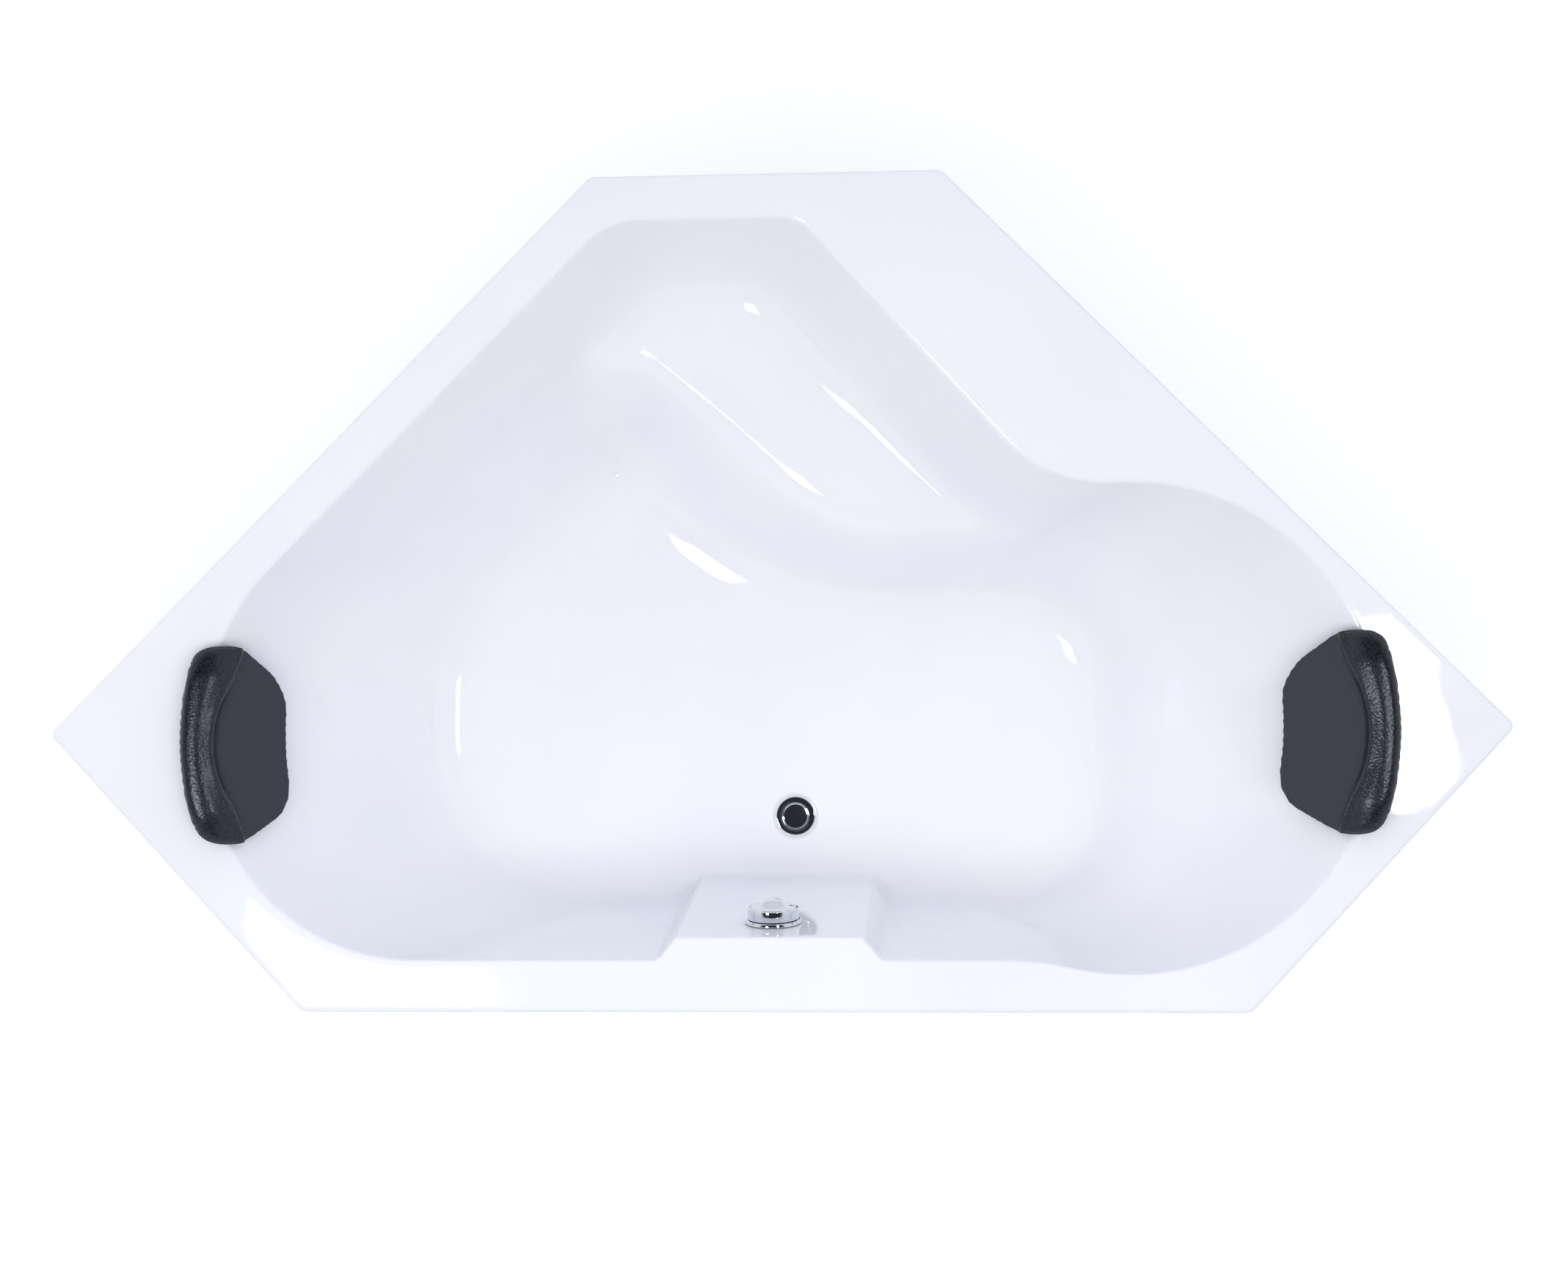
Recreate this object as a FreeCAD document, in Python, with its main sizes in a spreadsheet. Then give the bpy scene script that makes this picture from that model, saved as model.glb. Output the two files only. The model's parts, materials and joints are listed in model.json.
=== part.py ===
# Corner bathtub with two headrests, a corner seat and a pop-up waste.
# Millimetres. Z is up from the floor, +Y points to the room corner, and the origin is under the
# middle of the rim's box. "Tips line" is the line through the rim's left and right tips.

import FreeCAD, Part
import math
import os
import re

import Sketcher

Vector = FreeCAD.Vector
Rotation = FreeCAD.Rotation
doc = FreeCAD.newDocument("CornerBathtub")
sheet = doc.addObject("Spreadsheet::Sheet", "Sizes")

# ---------------------------------------------------------------- driving dimensions
DRIVING = [
    # rim
    ("wall_side", 1500),             # length of each side against a wall, to the virtual corner
    ("top_edge", 510),               # length of the cut across the room corner
    ("front_edge", 1372),            # length of the long front edge
    ("tip_to_front", 407),           # from the tips line to the front edge
    ("rim_height", 580),
    ("rim_lip", 40),                 # depth of the turned-down lip
    ("rim_corner_radius", 20),
    ("rim_tip_radius", 12),          # at the left and right tips
    ("rim_edge_round", 6),           # rounding of the rim's outer top edge
    ("basin_edge_round", 8),         # rounding where the rim rolls into the basin
    ("acrylic", 5),
    ("bond_gap", 0.3),               # resin line between laminated pieces
    ("backing", 4),                  # fibreglass
    # basin, places of its sides at the rim
    ("front_rim", 76),
    ("top_rim", 66),
    ("left_rim", 65.5),
    ("left_end_rim", 241),           # from the left tip to the basin
    ("right_end_rim", 201),          # from the right tip to the basin
    ("shoulder_rise", 349.5),        # basin's upper side at the right, above the tips line
    ("bay_corner_x", 45),            # where the bay's slanted side meets its top side
    ("bay_angle", 132.2),            # travel angle of the bay's slanted side
    ("bulge_corner_x", 384),         # where the front side starts to bulge at the right
    ("bulge_angle", 12),
    # depths below the rim
    ("seat_depth", 225),
    ("knee_depth", 330),             # lower edge of the reclining ends
    ("toe_depth", 405),              # where the walls start to round into the floor
    ("basin_depth", 430),
    ("seat_edge_x", 66),             # a point of the seat's slanted front edge, at seat level
    ("seat_edge_y", 312),
    ("seat_edge_angle", 138.1),
    ("alcove_y", 562),               # seat's edge over the alcove, above the tips line
    # overflow panel
    ("panel_x", -2),
    ("panel_width", 272),
    ("panel_bevel", 27),
    ("panel_rim", 109),              # from the front edge to the panel's top edge
    ("panel_slope", 6.84),           # lean of the panel's face
    ("overflow_depth", 95),          # knob centre below the rim
    ("overflow_hole_radius", 26),
    # drain
    ("drain_x", 12),
    ("drain_y", -150),               # from the tips line
    ("drain_hole_radius", 22),
    ("recess_radius", 36),
    ("recess_depth", 4),
    ("flange_radius", 31),
    ("flange_thick", 3),
    ("flange_tail_radius", 21.5),
    ("flange_tail_length", 36),
    ("flange_wall", 2.5),
    ("hub_radius", 8),
    ("plug_radius", 23),
    ("plug_thick", 4),
    ("plug_gap", 0.5),
    ("plug_travel", 8),
    ("stem_radius", 3.5),
    ("running_gap", 0.05),
    ("clear_gap", 0.3),
    ("seal_thick", 2),
    ("drain_flange_radius", 42),
    ("drain_body_radius", 26),
    ("drain_body_wall", 3),
    ("drain_body_height", 46),
    ("pipe_radius", 20),
    ("pipe_wall", 3),
    ("hose_radius", 16),
    ("hose_wall", 3),
    ("hose_bend", 40),
    ("cable_radius", 2.5),
    ("cable_bend", 12),              # under the lever
    ("cable_fall_bend", 40),         # behind the panel
    ("cable_side", 22),              # from the knob's axis to the cable
    ("wire_radius", 0.6),
    ("lever_arm", 28),
    ("lever_pin_radius", 2),
    ("lever_nose_radius", 3),
    ("lever_width", 6),
    ("lever_rest_angle", 8.3),
    ("dip_length", 64),
    ("trap_radius", 42),
    ("trap_height", 60),
    ("trap_drop", 14.7),             # from the drain body down to the trap, room for its nut
    ("outlet_length", 260),
    ("outlet_free_length", 100),     # the free end, which the house's drain takes
    ("outlet_collar", 2),            # the collar that stops it stands this proud
    ("outlet_collar_width", 4),
    # overflow pieces
    ("faceplate_radius", 42),
    ("faceplate_thick", 6),
    ("knob_radius", 38.2),
    ("knob_band", 16),
    ("knob_wall", 2.5),
    ("knob_dome", 5),
    ("knob_boss", 8),                # the raised middle of the face
    ("knob_boss_radius", 20),
    ("knob_gap", 0.8),
    ("spindle_radius", 4),
    ("elbow_radius", 34),
    ("elbow_depth", 32),
    ("elbow_wall", 3),
    ("gasket_thick", 3),
    ("screw_radius", 2.5),
    ("screw_head_radius", 4.5),
    ("screw_head_thick", 3),
    ("overflow_screw_spread", 42),
    # wood and steel under the tub
    ("board_thick", 18),
    ("board_margin", 30),
    ("board_hole_radius", 55),
    ("batten_thick", 18),
    ("batten_width", 30),
    ("tip_board_length", 150),
    ("left_batten_length", 760),
    ("left_batten_start", 212),
    ("right_batten_length", 330),
    ("right_batten_start", 90),
    ("right_batten_width", 90),
    ("back_batten_length", 400),
    ("front_batten_length", 1200),
    ("rail_size", 30),
    ("rail_wall", 2),
    ("rail_length", 400),
    ("rail_spacing", 660),
    ("rail_front", 175),             # from the front edge to the rails' front ends
    ("rail_leg_inset", 32),
    ("post_size", 25),
    ("post_plate", 60),
    ("post_plate_thick", 3),
    ("post_from_tip", 106),
    ("post_from_back", 28),
    ("post_bottom", 60),
    ("leg_radius", 6),
    ("leg_in_tube", 24),
    ("nut_radius", 11),
    ("nut_height", 10),
    ("foot_radius", 25),
    ("foot_thick", 8),
    ("foot_hub_radius", 11),
    ("foot_hub_height", 10),
    # headrests
    ("headrest_length", 292),
    ("headrest_over_rim", 33),
    ("headrest_pad_left", 122),      # length of the pad down the backrest
    ("headrest_pad_right", 137),
    ("headrest_thick", 36),
    ("headrest_bolster", 44),        # height of the ridge over the rim
    ("headrest_left_y", -16),        # from the tips line
    ("headrest_right_y", -6),
    ("headrest_gap", 0.4),
    ("cup_radius", 15),
    ("cup_height", 9),
    ("cup_spread", 100),
    ("cup_drop", 70),                # from the rim down the backrest to the cups
]

# How far each side of the basin has moved inwards at the seat, knee, toe and floor levels.
LEVELS = ("seat", "knee", "toe", "floor")
INSETS = {
    "right_end": (205, 304, 350, 384),
    "shoulder": (57, 97, 128, 146),
    "bay_right": (88,),
    "bay_top": (50,),
    "left_wall": (64, 112, 160, 189),
    "left_end": (130, 190, 245, 285),
    "front": (24, 34, 44, 60),
    "bulge": (28, 42, 56, 75),
    "seat_edge": (0, 66, 112, 150),
    "alcove": (0, 70, 118, 149),
}
# Rounding of each corner in plan, at the rim (or seat) and at the floor.
ROUNDINGS = {
    "right_shoulder": (340, 150),
    "bay_elbow": (200, 140),
    "bay_right_corner": (60, 40),
    "bay_left_corner": (110, 20),
    "left_upper": (300, 130),
    "left_lower": (300, 200),
    "bulge_start": (400, 300),
    "right_lower": (345, 160),
    "seat_elbow": (25, 400),
    "alcove_right": (70, 40),
    "alcove_left": (30, 40),
}
for side, insets in INSETS.items():
    for level, inset in zip(LEVELS, insets):
        DRIVING.append((side + "_at_" + level, inset))
for corner, (upper, lower) in ROUNDINGS.items():
    DRIVING.append((corner + "_upper", upper))
    DRIVING.append((corner + "_lower", lower))

for row, (alias, length) in enumerate(DRIVING, start=1):
    sheet.set("A%d" % row, alias)
    sheet.set("B%d" % row, str(length))
    sheet.setAlias("B%d" % row, alias)
doc.recompute()
ALIASES = set(alias for alias, length in DRIVING)


# ---------------------------------------------------------------- helpers
def bound(text):
    """The text with each alias written as a reference to the sheet."""
    def swap(word):
        return "Sizes." + word.group() if word.group() in ALIASES else word.group()

    return re.sub(r"[a-z_]+", swap, str(text))


ruler = doc.addObject("App::FeaturePython", "Ruler")


def number(text):
    """The present value of an expression over the sheet."""
    return float(ruler.evalExpression(bound(text)))


def put(shape_object, x="0", y="0", z="0"):
    shape_object.setExpression("Placement.Base.x", bound(x))
    shape_object.setExpression("Placement.Base.y", bound(y))
    shape_object.setExpression("Placement.Base.z", bound(z))
    return shape_object


def box(name, length, width, height, x="0", y="0", z="0"):
    made = doc.addObject("Part::Box", name)
    made.setExpression("Length", bound(length))
    made.setExpression("Width", bound(width))
    made.setExpression("Height", bound(height))
    return put(made, x, y, z)


def cylinder(name, radius, height, x="0", y="0", z="0"):
    made = doc.addObject("Part::Cylinder", name)
    made.setExpression("Radius", bound(radius))
    made.setExpression("Height", bound(height))
    return put(made, x, y, z)


def rod(name, radius, length, x, y, z, rotation):
    """A cylinder whose axis is turned away from Z."""
    made = cylinder(name, radius, length, x, y, z)
    made.Placement.Rotation = rotation
    return made


def fuse(name, *shapes):
    made = doc.addObject("Part::MultiFuse", name)
    made.Shapes = list(shapes)
    return made


def cut(name, base, *tools):
    made = doc.addObject("Part::Cut", name)
    made.Base = base
    made.Tool = tools[0] if len(tools) == 1 else fuse(name + "_tools", *tools)
    return made


def group(name, members):
    made = doc.addObject("Part::Compound", name)
    made.Links = members
    return made


def solid(name, shape):
    made = doc.addObject("Part::Feature", name)
    made.Shape = shape
    return made


def turned(name, profile, x="0", y="0", z="0"):
    """A body turned about its Z axis; profile is a list of (radius, height) expressions."""
    body = doc.addObject("PartDesign::Body", name)
    plane = [part for part in body.Origin.OriginFeatures if part.Role == "XZ_Plane"][0]
    sketch = body.newObject("Sketcher::SketchObject", name + "_profile")
    sketch.AttachmentSupport = (plane, [""])
    sketch.MapMode = "FlatFace"
    corners = [Vector(number(radius), number(height), 0) for radius, height in profile]
    count = len(corners)
    for index in range(count):
        sketch.addGeometry(Part.LineSegment(corners[index], corners[(index + 1) % count]), False)
    for index in range(count):
        sketch.addConstraint(Sketcher.Constraint("Coincident", index, 2, (index + 1) % count, 1))
    for index, (radius, height) in enumerate(profile):
        for kind, text, axis in (("DistanceX", radius, -2), ("DistanceY", height, -1)):
            if str(text) == "0":
                sketch.addConstraint(Sketcher.Constraint("PointOnObject", index, 1, axis))
                continue
            datum = sketch.addConstraint(Sketcher.Constraint(kind, -1, 1, index, 1, number(text)))
            sketch.setExpression("Constraints[%d]" % datum, bound(text))
    turn = body.newObject("PartDesign::Revolution", name + "_turn")
    turn.Profile = sketch
    turn.ReferenceAxis = (sketch, ["V_Axis"])
    turn.Angle = 360
    body.Tip = turn
    return put(body, x, y, z)


def bent_path(points, bends):
    """Straight runs joined by tangent arcs; bends holds the radius at each inner point."""
    edges = []
    start = points[0]
    for before, corner, after, bend in zip(points, points[1:], points[2:], bends):
        back = (before - corner).normalize()
        ahead = (after - corner).normalize()
        half_turn = (math.pi - back.getAngle(ahead)) / 2
        trim = bend * math.tan(half_turn)
        middle = (back + ahead).normalize() * (bend / math.cos(half_turn) - bend)
        first, last = corner + back * trim, corner + ahead * trim
        edges.append(Part.LineSegment(start, first).toShape())
        edges.append(Part.Arc(first, corner + middle, last).toShape())
        start = last
    edges.append(Part.LineSegment(start, points[-1]).toShape())
    return Part.Wire(edges)


def swept_rod(points, bends, radius):
    path = bent_path(points, bends)
    ahead = points[1] - points[0]
    ring = Part.Wire(Part.makeCircle(radius, points[0], ahead))
    return path.makePipeShell([ring], True, True)


PIECES = []


def piece(made, label):
    made.Label = label
    PIECES.append(made)
    return made


# ---------------------------------------------------------------- outlines of the rim and basin
TIP_X = "(wall_side / sqrt(2))"
TIPS_Y = "((tip_to_front - wall_side / sqrt(2) + top_edge / 2) / 2)"
FRONT_Y = "(" + TIPS_Y + " - tip_to_front)"
BACK_Y = "(" + TIPS_Y + " + wall_side / sqrt(2) - top_edge / 2)"
RIM_Z = "rim_height"
tips_y = number(TIPS_Y)
rim_z = number(RIM_Z)


def side_line(x, y, travel, inwards):
    """A side as (point, direction), moved to its left, which is the basin's inside."""
    angle = math.radians(travel)
    ahead = Vector(math.cos(angle), math.sin(angle), 0)
    left = Vector(-ahead.y, ahead.x, 0)
    return Vector(x, y, 0) + left * inwards, ahead


def meeting(first, second):
    (point, ahead), (other, other_ahead) = first, second
    span = other - point
    turn = ahead.x * other_ahead.y - ahead.y * other_ahead.x
    return point + ahead * ((span.x * other_ahead.y - span.y * other_ahead.x) / turn)


def rounded_outline(lines, radii, z):
    """A closed wire of the sides and of an arc at each corner; radii[i] rounds side i into side i + 1."""
    count = len(lines)
    corners = [meeting(lines[i], lines[(i + 1) % count]) for i in range(count)]
    half_turns = []
    for i in range(count):
        ahead, onward = lines[i][1], lines[(i + 1) % count][1]
        half_turns.append(ahead.getAngle(onward) / 2)
    trims = [max(radii[i], 1.0) * math.tan(half_turns[i]) for i in range(count)]
    for i in range(count):
        room = 0.98 * corners[i].distanceToPoint(corners[i - 1])
        wanted = trims[i] + trims[i - 1]
        if wanted > room:
            trims[i] *= room / wanted
            trims[i - 1] *= room / wanted
    edges = []
    lift = Vector(0, 0, z)
    for i in range(count):
        ahead, onward = lines[i][1], lines[(i + 1) % count][1]
        radius = trims[i] / math.tan(half_turns[i])
        start = corners[i] - ahead * trims[i]
        end = corners[i] + onward * trims[i]
        middle = corners[i] + (onward - ahead).normalize() * (radius / math.cos(half_turns[i]) - radius)
        previous = corners[i - 1] + ahead * trims[i - 1]
        edges.append(Part.LineSegment(previous + lift, start + lift).toShape())
        edges.append(Part.Arc(start + lift, middle + lift, end + lift).toShape())
    return Part.Wire(edges)


def rim_outline(inwards, z):
    """The six-sided outline of the rim, moved inwards."""
    tip_x, back_y, front_y = number(TIP_X), number(BACK_Y), number(FRONT_Y)
    end_angle = math.degrees(math.atan2(tips_y - front_y, tip_x - number("front_edge / 2")))
    lines = [
        side_line(tip_x, tips_y, 135, inwards),
        side_line(0, back_y, 180, inwards),
        side_line(-tip_x, tips_y, 225, inwards),
        side_line(-tip_x, tips_y, -end_angle, inwards),
        side_line(0, front_y, 0, inwards),
        side_line(tip_x, tips_y, end_angle, inwards),
    ]
    obtuse = max(number("rim_corner_radius") - inwards, 1.0)
    tip = max(number("rim_tip_radius") - inwards, 1.0)
    return rounded_outline(lines, [obtuse, obtuse, tip, obtuse, obtuse, tip], z)


SHARED_SIDES = ("right_end", "shoulder", "left_wall", "left_end", "front", "bulge")
UPPER_SIDES = ("right_end", "shoulder", "bay_right", "bay_top", "left_wall", "left_end", "front", "bulge")
UPPER_CORNERS = ("right_shoulder", "bay_elbow", "bay_right_corner", "bay_left_corner", "left_upper",
                 "left_lower", "bulge_start", "right_lower")
LOWER_SIDES = ("right_end", "shoulder", "seat_edge", "alcove", "left_wall", "left_end", "front", "bulge")
LOWER_CORNERS = ("right_shoulder", "seat_elbow", "alcove_right", "alcove_left", "left_upper",
                 "left_lower", "bulge_start", "right_lower")
REFLEX_CORNERS = ("bay_elbow", "seat_elbow", "bulge_start")


def basin_side(side, inwards):
    anchors = {
        "right_end": (number(TIP_X + " - right_end_rim"), tips_y, 90),
        "shoulder": (0, tips_y + number("shoulder_rise"), 180),
        "bay_right": (number("bay_corner_x"), number(BACK_Y + " - top_rim"), number("bay_angle")),
        "bay_top": (0, number(BACK_Y + " - top_rim"), 180),
        "left_wall": (-number(TIP_X + " - left_rim * sqrt(2)"), tips_y, 225),
        "left_end": (-number(TIP_X + " - left_end_rim"), tips_y, 270),
        "front": (0, number(FRONT_Y + " + front_rim"), 0),
        "bulge": (number("bulge_corner_x"), number(FRONT_Y + " + front_rim"), -number("bulge_angle")),
        "seat_edge": (number("seat_edge_x"), tips_y + number("seat_edge_y"), number("seat_edge_angle")),
        "alcove": (0, tips_y + number("alcove_y"), 180),
    }
    x, y, travel = anchors[side]
    return side_line(x, y, travel, inwards)


def basin_outline(sides, corners, level, grow, depth):
    """The basin's outline at a level, grown outwards, set at a depth below the rim."""
    lines = []
    for side in sides:
        inwards = 0 if level in ("rim", "edge") else number(side + "_at_" + level)
        if level == "edge":
            inwards = -number("basin_edge_round")
        lines.append(basin_side(side, inwards - grow))
    share = 0 if level in ("rim", "edge") else number(level + "_depth" if level != "floor" else "basin_depth")
    share = share / number("basin_depth")
    radii = []
    for corner in corners:
        radius = (1 - share) * number(corner + "_upper") + share * number(corner + "_lower")
        if level == "edge":
            grow = number("basin_edge_round")
        radii.append(radius - grow if corner in REFLEX_CORNERS else radius + grow)
    return rounded_outline(lines, radii, rim_z - depth)


def panel_block(shrink):
    """The overflow panel that stands out of the front wall, made thinner by shrink on every face."""
    half = number("panel_width / 2") - shrink
    bevel = number("panel_bevel")
    reach = number("panel_rim - front_rim")
    middle = number("panel_x")
    top_y = number(FRONT_Y + " + panel_rim") - shrink
    root_y = number(FRONT_Y + " + front_rim") - 40
    rings = []
    for depth in (-20, number("basin_depth") + 20):
        face_y = top_y + depth * math.tan(math.radians(number("panel_slope")))
        spread = half + bevel / reach * (face_y - root_y)
        z = rim_z - depth
        rings.append([Vector(middle - half, face_y, z), Vector(middle - spread, root_y, z),
                      Vector(middle + spread, root_y, z), Vector(middle + half, face_y, z)])
    upper, lower = rings
    faces = [Part.Face(Part.makePolygon(ring + ring[:1])) for ring in rings]
    for i in range(len(upper)):
        corners = [upper[i - 1], upper[i], lower[i], lower[i - 1]]
        faces.append(Part.Face(Part.makePolygon(corners + corners[:1])))
    return Part.Solid(Part.Shell(faces))


def basin_space(grow, above=0):
    """The hollow of the basin, grown outwards, as one solid that is open at the rim."""
    upper = []
    if above:
        upper.append(basin_outline(UPPER_SIDES, UPPER_CORNERS, "edge", grow, -above))
    upper.append(basin_outline(UPPER_SIDES, UPPER_CORNERS, "edge", grow, 0))
    upper.append(basin_outline(UPPER_SIDES, UPPER_CORNERS, "rim", grow, number("basin_edge_round")))
    upper.append(basin_outline(UPPER_SIDES, UPPER_CORNERS, "seat", grow, number("seat_depth") + grow))
    lower = [basin_outline(LOWER_SIDES, LOWER_CORNERS, "seat", grow, number("seat_depth") + grow - 15)]
    for level, depth in (("seat", "seat_depth"), ("knee", "knee_depth"), ("toe", "toe_depth"),
                         ("floor", "basin_depth")):
        lower.append(basin_outline(LOWER_SIDES, LOWER_CORNERS, level, grow, number(depth) + grow))
    space = Part.makeLoft(upper, True, True).fuse(Part.makeLoft(lower, True, True))
    recess_depth = number("recess_depth")
    recess = Part.makeCylinder(number("recess_radius") + grow, recess_depth + 2,
                               Vector(number("drain_x"), drain_y, floor_z - recess_depth - grow))
    return space.cut(panel_block(grow)).fuse(recess)


def prism(wire, height):
    return Part.Face(wire).extrude(Vector(0, 0, height))


DRAIN_Y = "(" + TIPS_Y + " + drain_y)"
FLOOR_Z = "(rim_height - basin_depth)"
RECESS_Z = "(rim_height - basin_depth - recess_depth)"
drain_y = number(DRAIN_Y)
floor_z = number(FLOOR_Z)

# ---------------------------------------------------------------- acrylic shell and its backing
acrylic = number("acrylic")
lip = number("rim_lip")
edge_round = number("rim_edge_round")
laminate = number("acrylic + bond_gap + backing")
slope = number("panel_slope")
panel_normal = Vector(0, math.cos(math.radians(slope)), math.sin(math.radians(slope)))
face_rotation = Rotation(Vector(1, 0, 0), -(90 - slope))
FACE_Y = "(" + FRONT_Y + " + panel_rim + overflow_depth * tan(panel_slope))"
FACE_Z = "(rim_height - overflow_depth)"
face_point = Vector(number("panel_x"), number(FACE_Y), number(FACE_Z))
# Along the knob's axis, from the panel's face: the front of the elbow behind it, and its spout.
ELBOW_FRONT = "(-acrylic - bond_gap - backing - gasket_thick)"
SPIGOT_W = "(" + ELBOW_FRONT + " - elbow_depth / 2 - 2)"

rim_solid = Part.makeLoft([rim_outline(edge_round, rim_z), rim_outline(0, rim_z - edge_round),
                           rim_outline(0, rim_z - lip)], True, True)
rim_solid = rim_solid.cut(prism(rim_outline(acrylic, rim_z - lip - 1), lip + 1 - acrylic))
drain_hole = Part.makeCylinder(number("drain_hole_radius"), 60,
                               Vector(number("drain_x"), drain_y, floor_z - 40))
overflow_hole = Part.makeCylinder(number("overflow_hole_radius"), 60, face_point - panel_normal * 30,
                                  panel_normal)
shell = rim_solid.fuse(basin_space(acrylic)).cut(basin_space(0, 2))
shell = shell.cut(drain_hole).cut(overflow_hole)
piece(solid("AcrylicShell", shell), "tub_shell")

under_rim = Part.makeBox(3000, 3000, rim_z, Vector(-1500, -1500, -acrylic - number("bond_gap")))
backing = basin_space(laminate).cut(basin_space(number("acrylic + bond_gap"))).common(under_rim)
backing = backing.cut(drain_hole).cut(overflow_hole)
piece(solid("Fibreglass", backing), "fibreglass_backing")

# ---------------------------------------------------------------- wood laminated under the tub
BOARD_TOP = "(rim_height - basin_depth - acrylic - bond_gap - backing)"
BOARD_BOTTOM = "(" + BOARD_TOP + " - board_thick)"
board_sides = [side for side in LOWER_SIDES if side != "alcove"]
board_corners = [corner for corner in LOWER_CORNERS if corner != "alcove_right"]
board_outline = basin_outline(board_sides, board_corners, "floor", -number("board_margin"),
                              rim_z - number(BOARD_BOTTOM))
board = prism(board_outline, number("board_thick"))
board = board.cut(Part.makeCylinder(number("board_hole_radius"), 60,
                                    Vector(number("drain_x"), drain_y, number(BOARD_BOTTOM) - 10)))
piece(solid("FloorBoard", board), "floor_board")

BATTEN_TOP = "(rim_height - acrylic - bond_gap)"
BATTEN_BOTTOM = "(" + BATTEN_TOP + " - batten_thick)"
inside_lip = prism(rim_outline(number("acrylic + bond_gap"), number(BATTEN_BOTTOM)), number("batten_thick"))
tip_length = number("tip_board_length")
for label, low_x in (("tip_board_left", -number(TIP_X)), ("tip_board_right", number(TIP_X) - tip_length)):
    end = inside_lip.common(Part.makeBox(tip_length, 2000, rim_z, Vector(low_x, -1000, 0)))
    piece(solid("Wood_" + label, end), label)

IN_LIP = "(acrylic + bond_gap)"
left_batten = box("LeftBatten", "left_batten_length", "batten_width", "batten_thick",
                  "-" + TIP_X + " + (left_batten_start + batten_width + " + IN_LIP + ") / sqrt(2)",
                  TIPS_Y + " + (left_batten_start - batten_width - " + IN_LIP + ") / sqrt(2)", BATTEN_BOTTOM)
left_batten.Placement.Rotation = Rotation(Vector(0, 0, 1), 45)
piece(left_batten, "wall_batten_left")
right_batten = box("RightBatten", "right_batten_length", "right_batten_width", "batten_thick",
                   "top_edge / 2 + (right_batten_start - right_batten_width - " + IN_LIP + ") / sqrt(2)",
                   BACK_Y + " - (right_batten_start + right_batten_width + " + IN_LIP + ") / sqrt(2)",
                   BATTEN_BOTTOM)
right_batten.Placement.Rotation = Rotation(Vector(0, 0, 1), -45)
piece(right_batten, "wall_batten_right")
piece(box("BackBatten", "back_batten_length", "batten_width", "batten_thick", "-back_batten_length / 2",
          BACK_Y + " - batten_width - " + IN_LIP, BATTEN_BOTTOM), "back_batten")
piece(box("FrontBatten", "front_batten_length", "batten_width", "batten_thick", "-front_batten_length / 2",
          FRONT_Y + " + " + IN_LIP, BATTEN_BOTTOM), "front_batten")

# ---------------------------------------------------------------- steel rails, posts and levelling feet
RAIL_BOTTOM = "(" + BOARD_BOTTOM + " - rail_size)"
RAIL_Y = "(" + FRONT_Y + " + rail_front)"
legs = []


def square_tube(name, size, length, x, y, z, along_z):
    """A hollow square tube with its low corner at x, y, z."""
    outer_sizes = (size, size, length) if along_z else (size, length, size)
    inner = "(" + size + " - 2 * rail_wall)"
    inner_sizes = (inner, inner, length + " + 2") if along_z else (inner, length + " + 2", inner)
    inner_base = (x + " + rail_wall", y + " + rail_wall", z + " - 1") if along_z else (
        x + " + rail_wall", y + " - 1", z + " + rail_wall")
    return (box(name + "_outer", *outer_sizes, x, y, z), box(name + "_inner", *inner_sizes, *inner_base))


for side, sign in (("left", "-"), ("right", "")):
    middle_x = "(" + sign + "rail_spacing / 2)"
    outer, inner = square_tube("Rail_" + side, "rail_size", "rail_length",
                               middle_x + " - rail_size / 2", RAIL_Y, RAIL_BOTTOM, False)
    holes = []
    for place, leg_y in (("front", RAIL_Y + " + rail_leg_inset"),
                         ("back", RAIL_Y + " + rail_length - rail_leg_inset")):
        holes.append(cylinder("Rail_%s_%s_hole" % (side, place), "leg_radius + clear_gap", "2 * rail_wall",
                              middle_x, leg_y, RAIL_BOTTOM + " - rail_wall / 2"))
        legs.append((middle_x, leg_y, RAIL_BOTTOM))
    piece(cut("Rail_" + side, outer, inner, *holes), "cross_rail_" + side)

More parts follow.
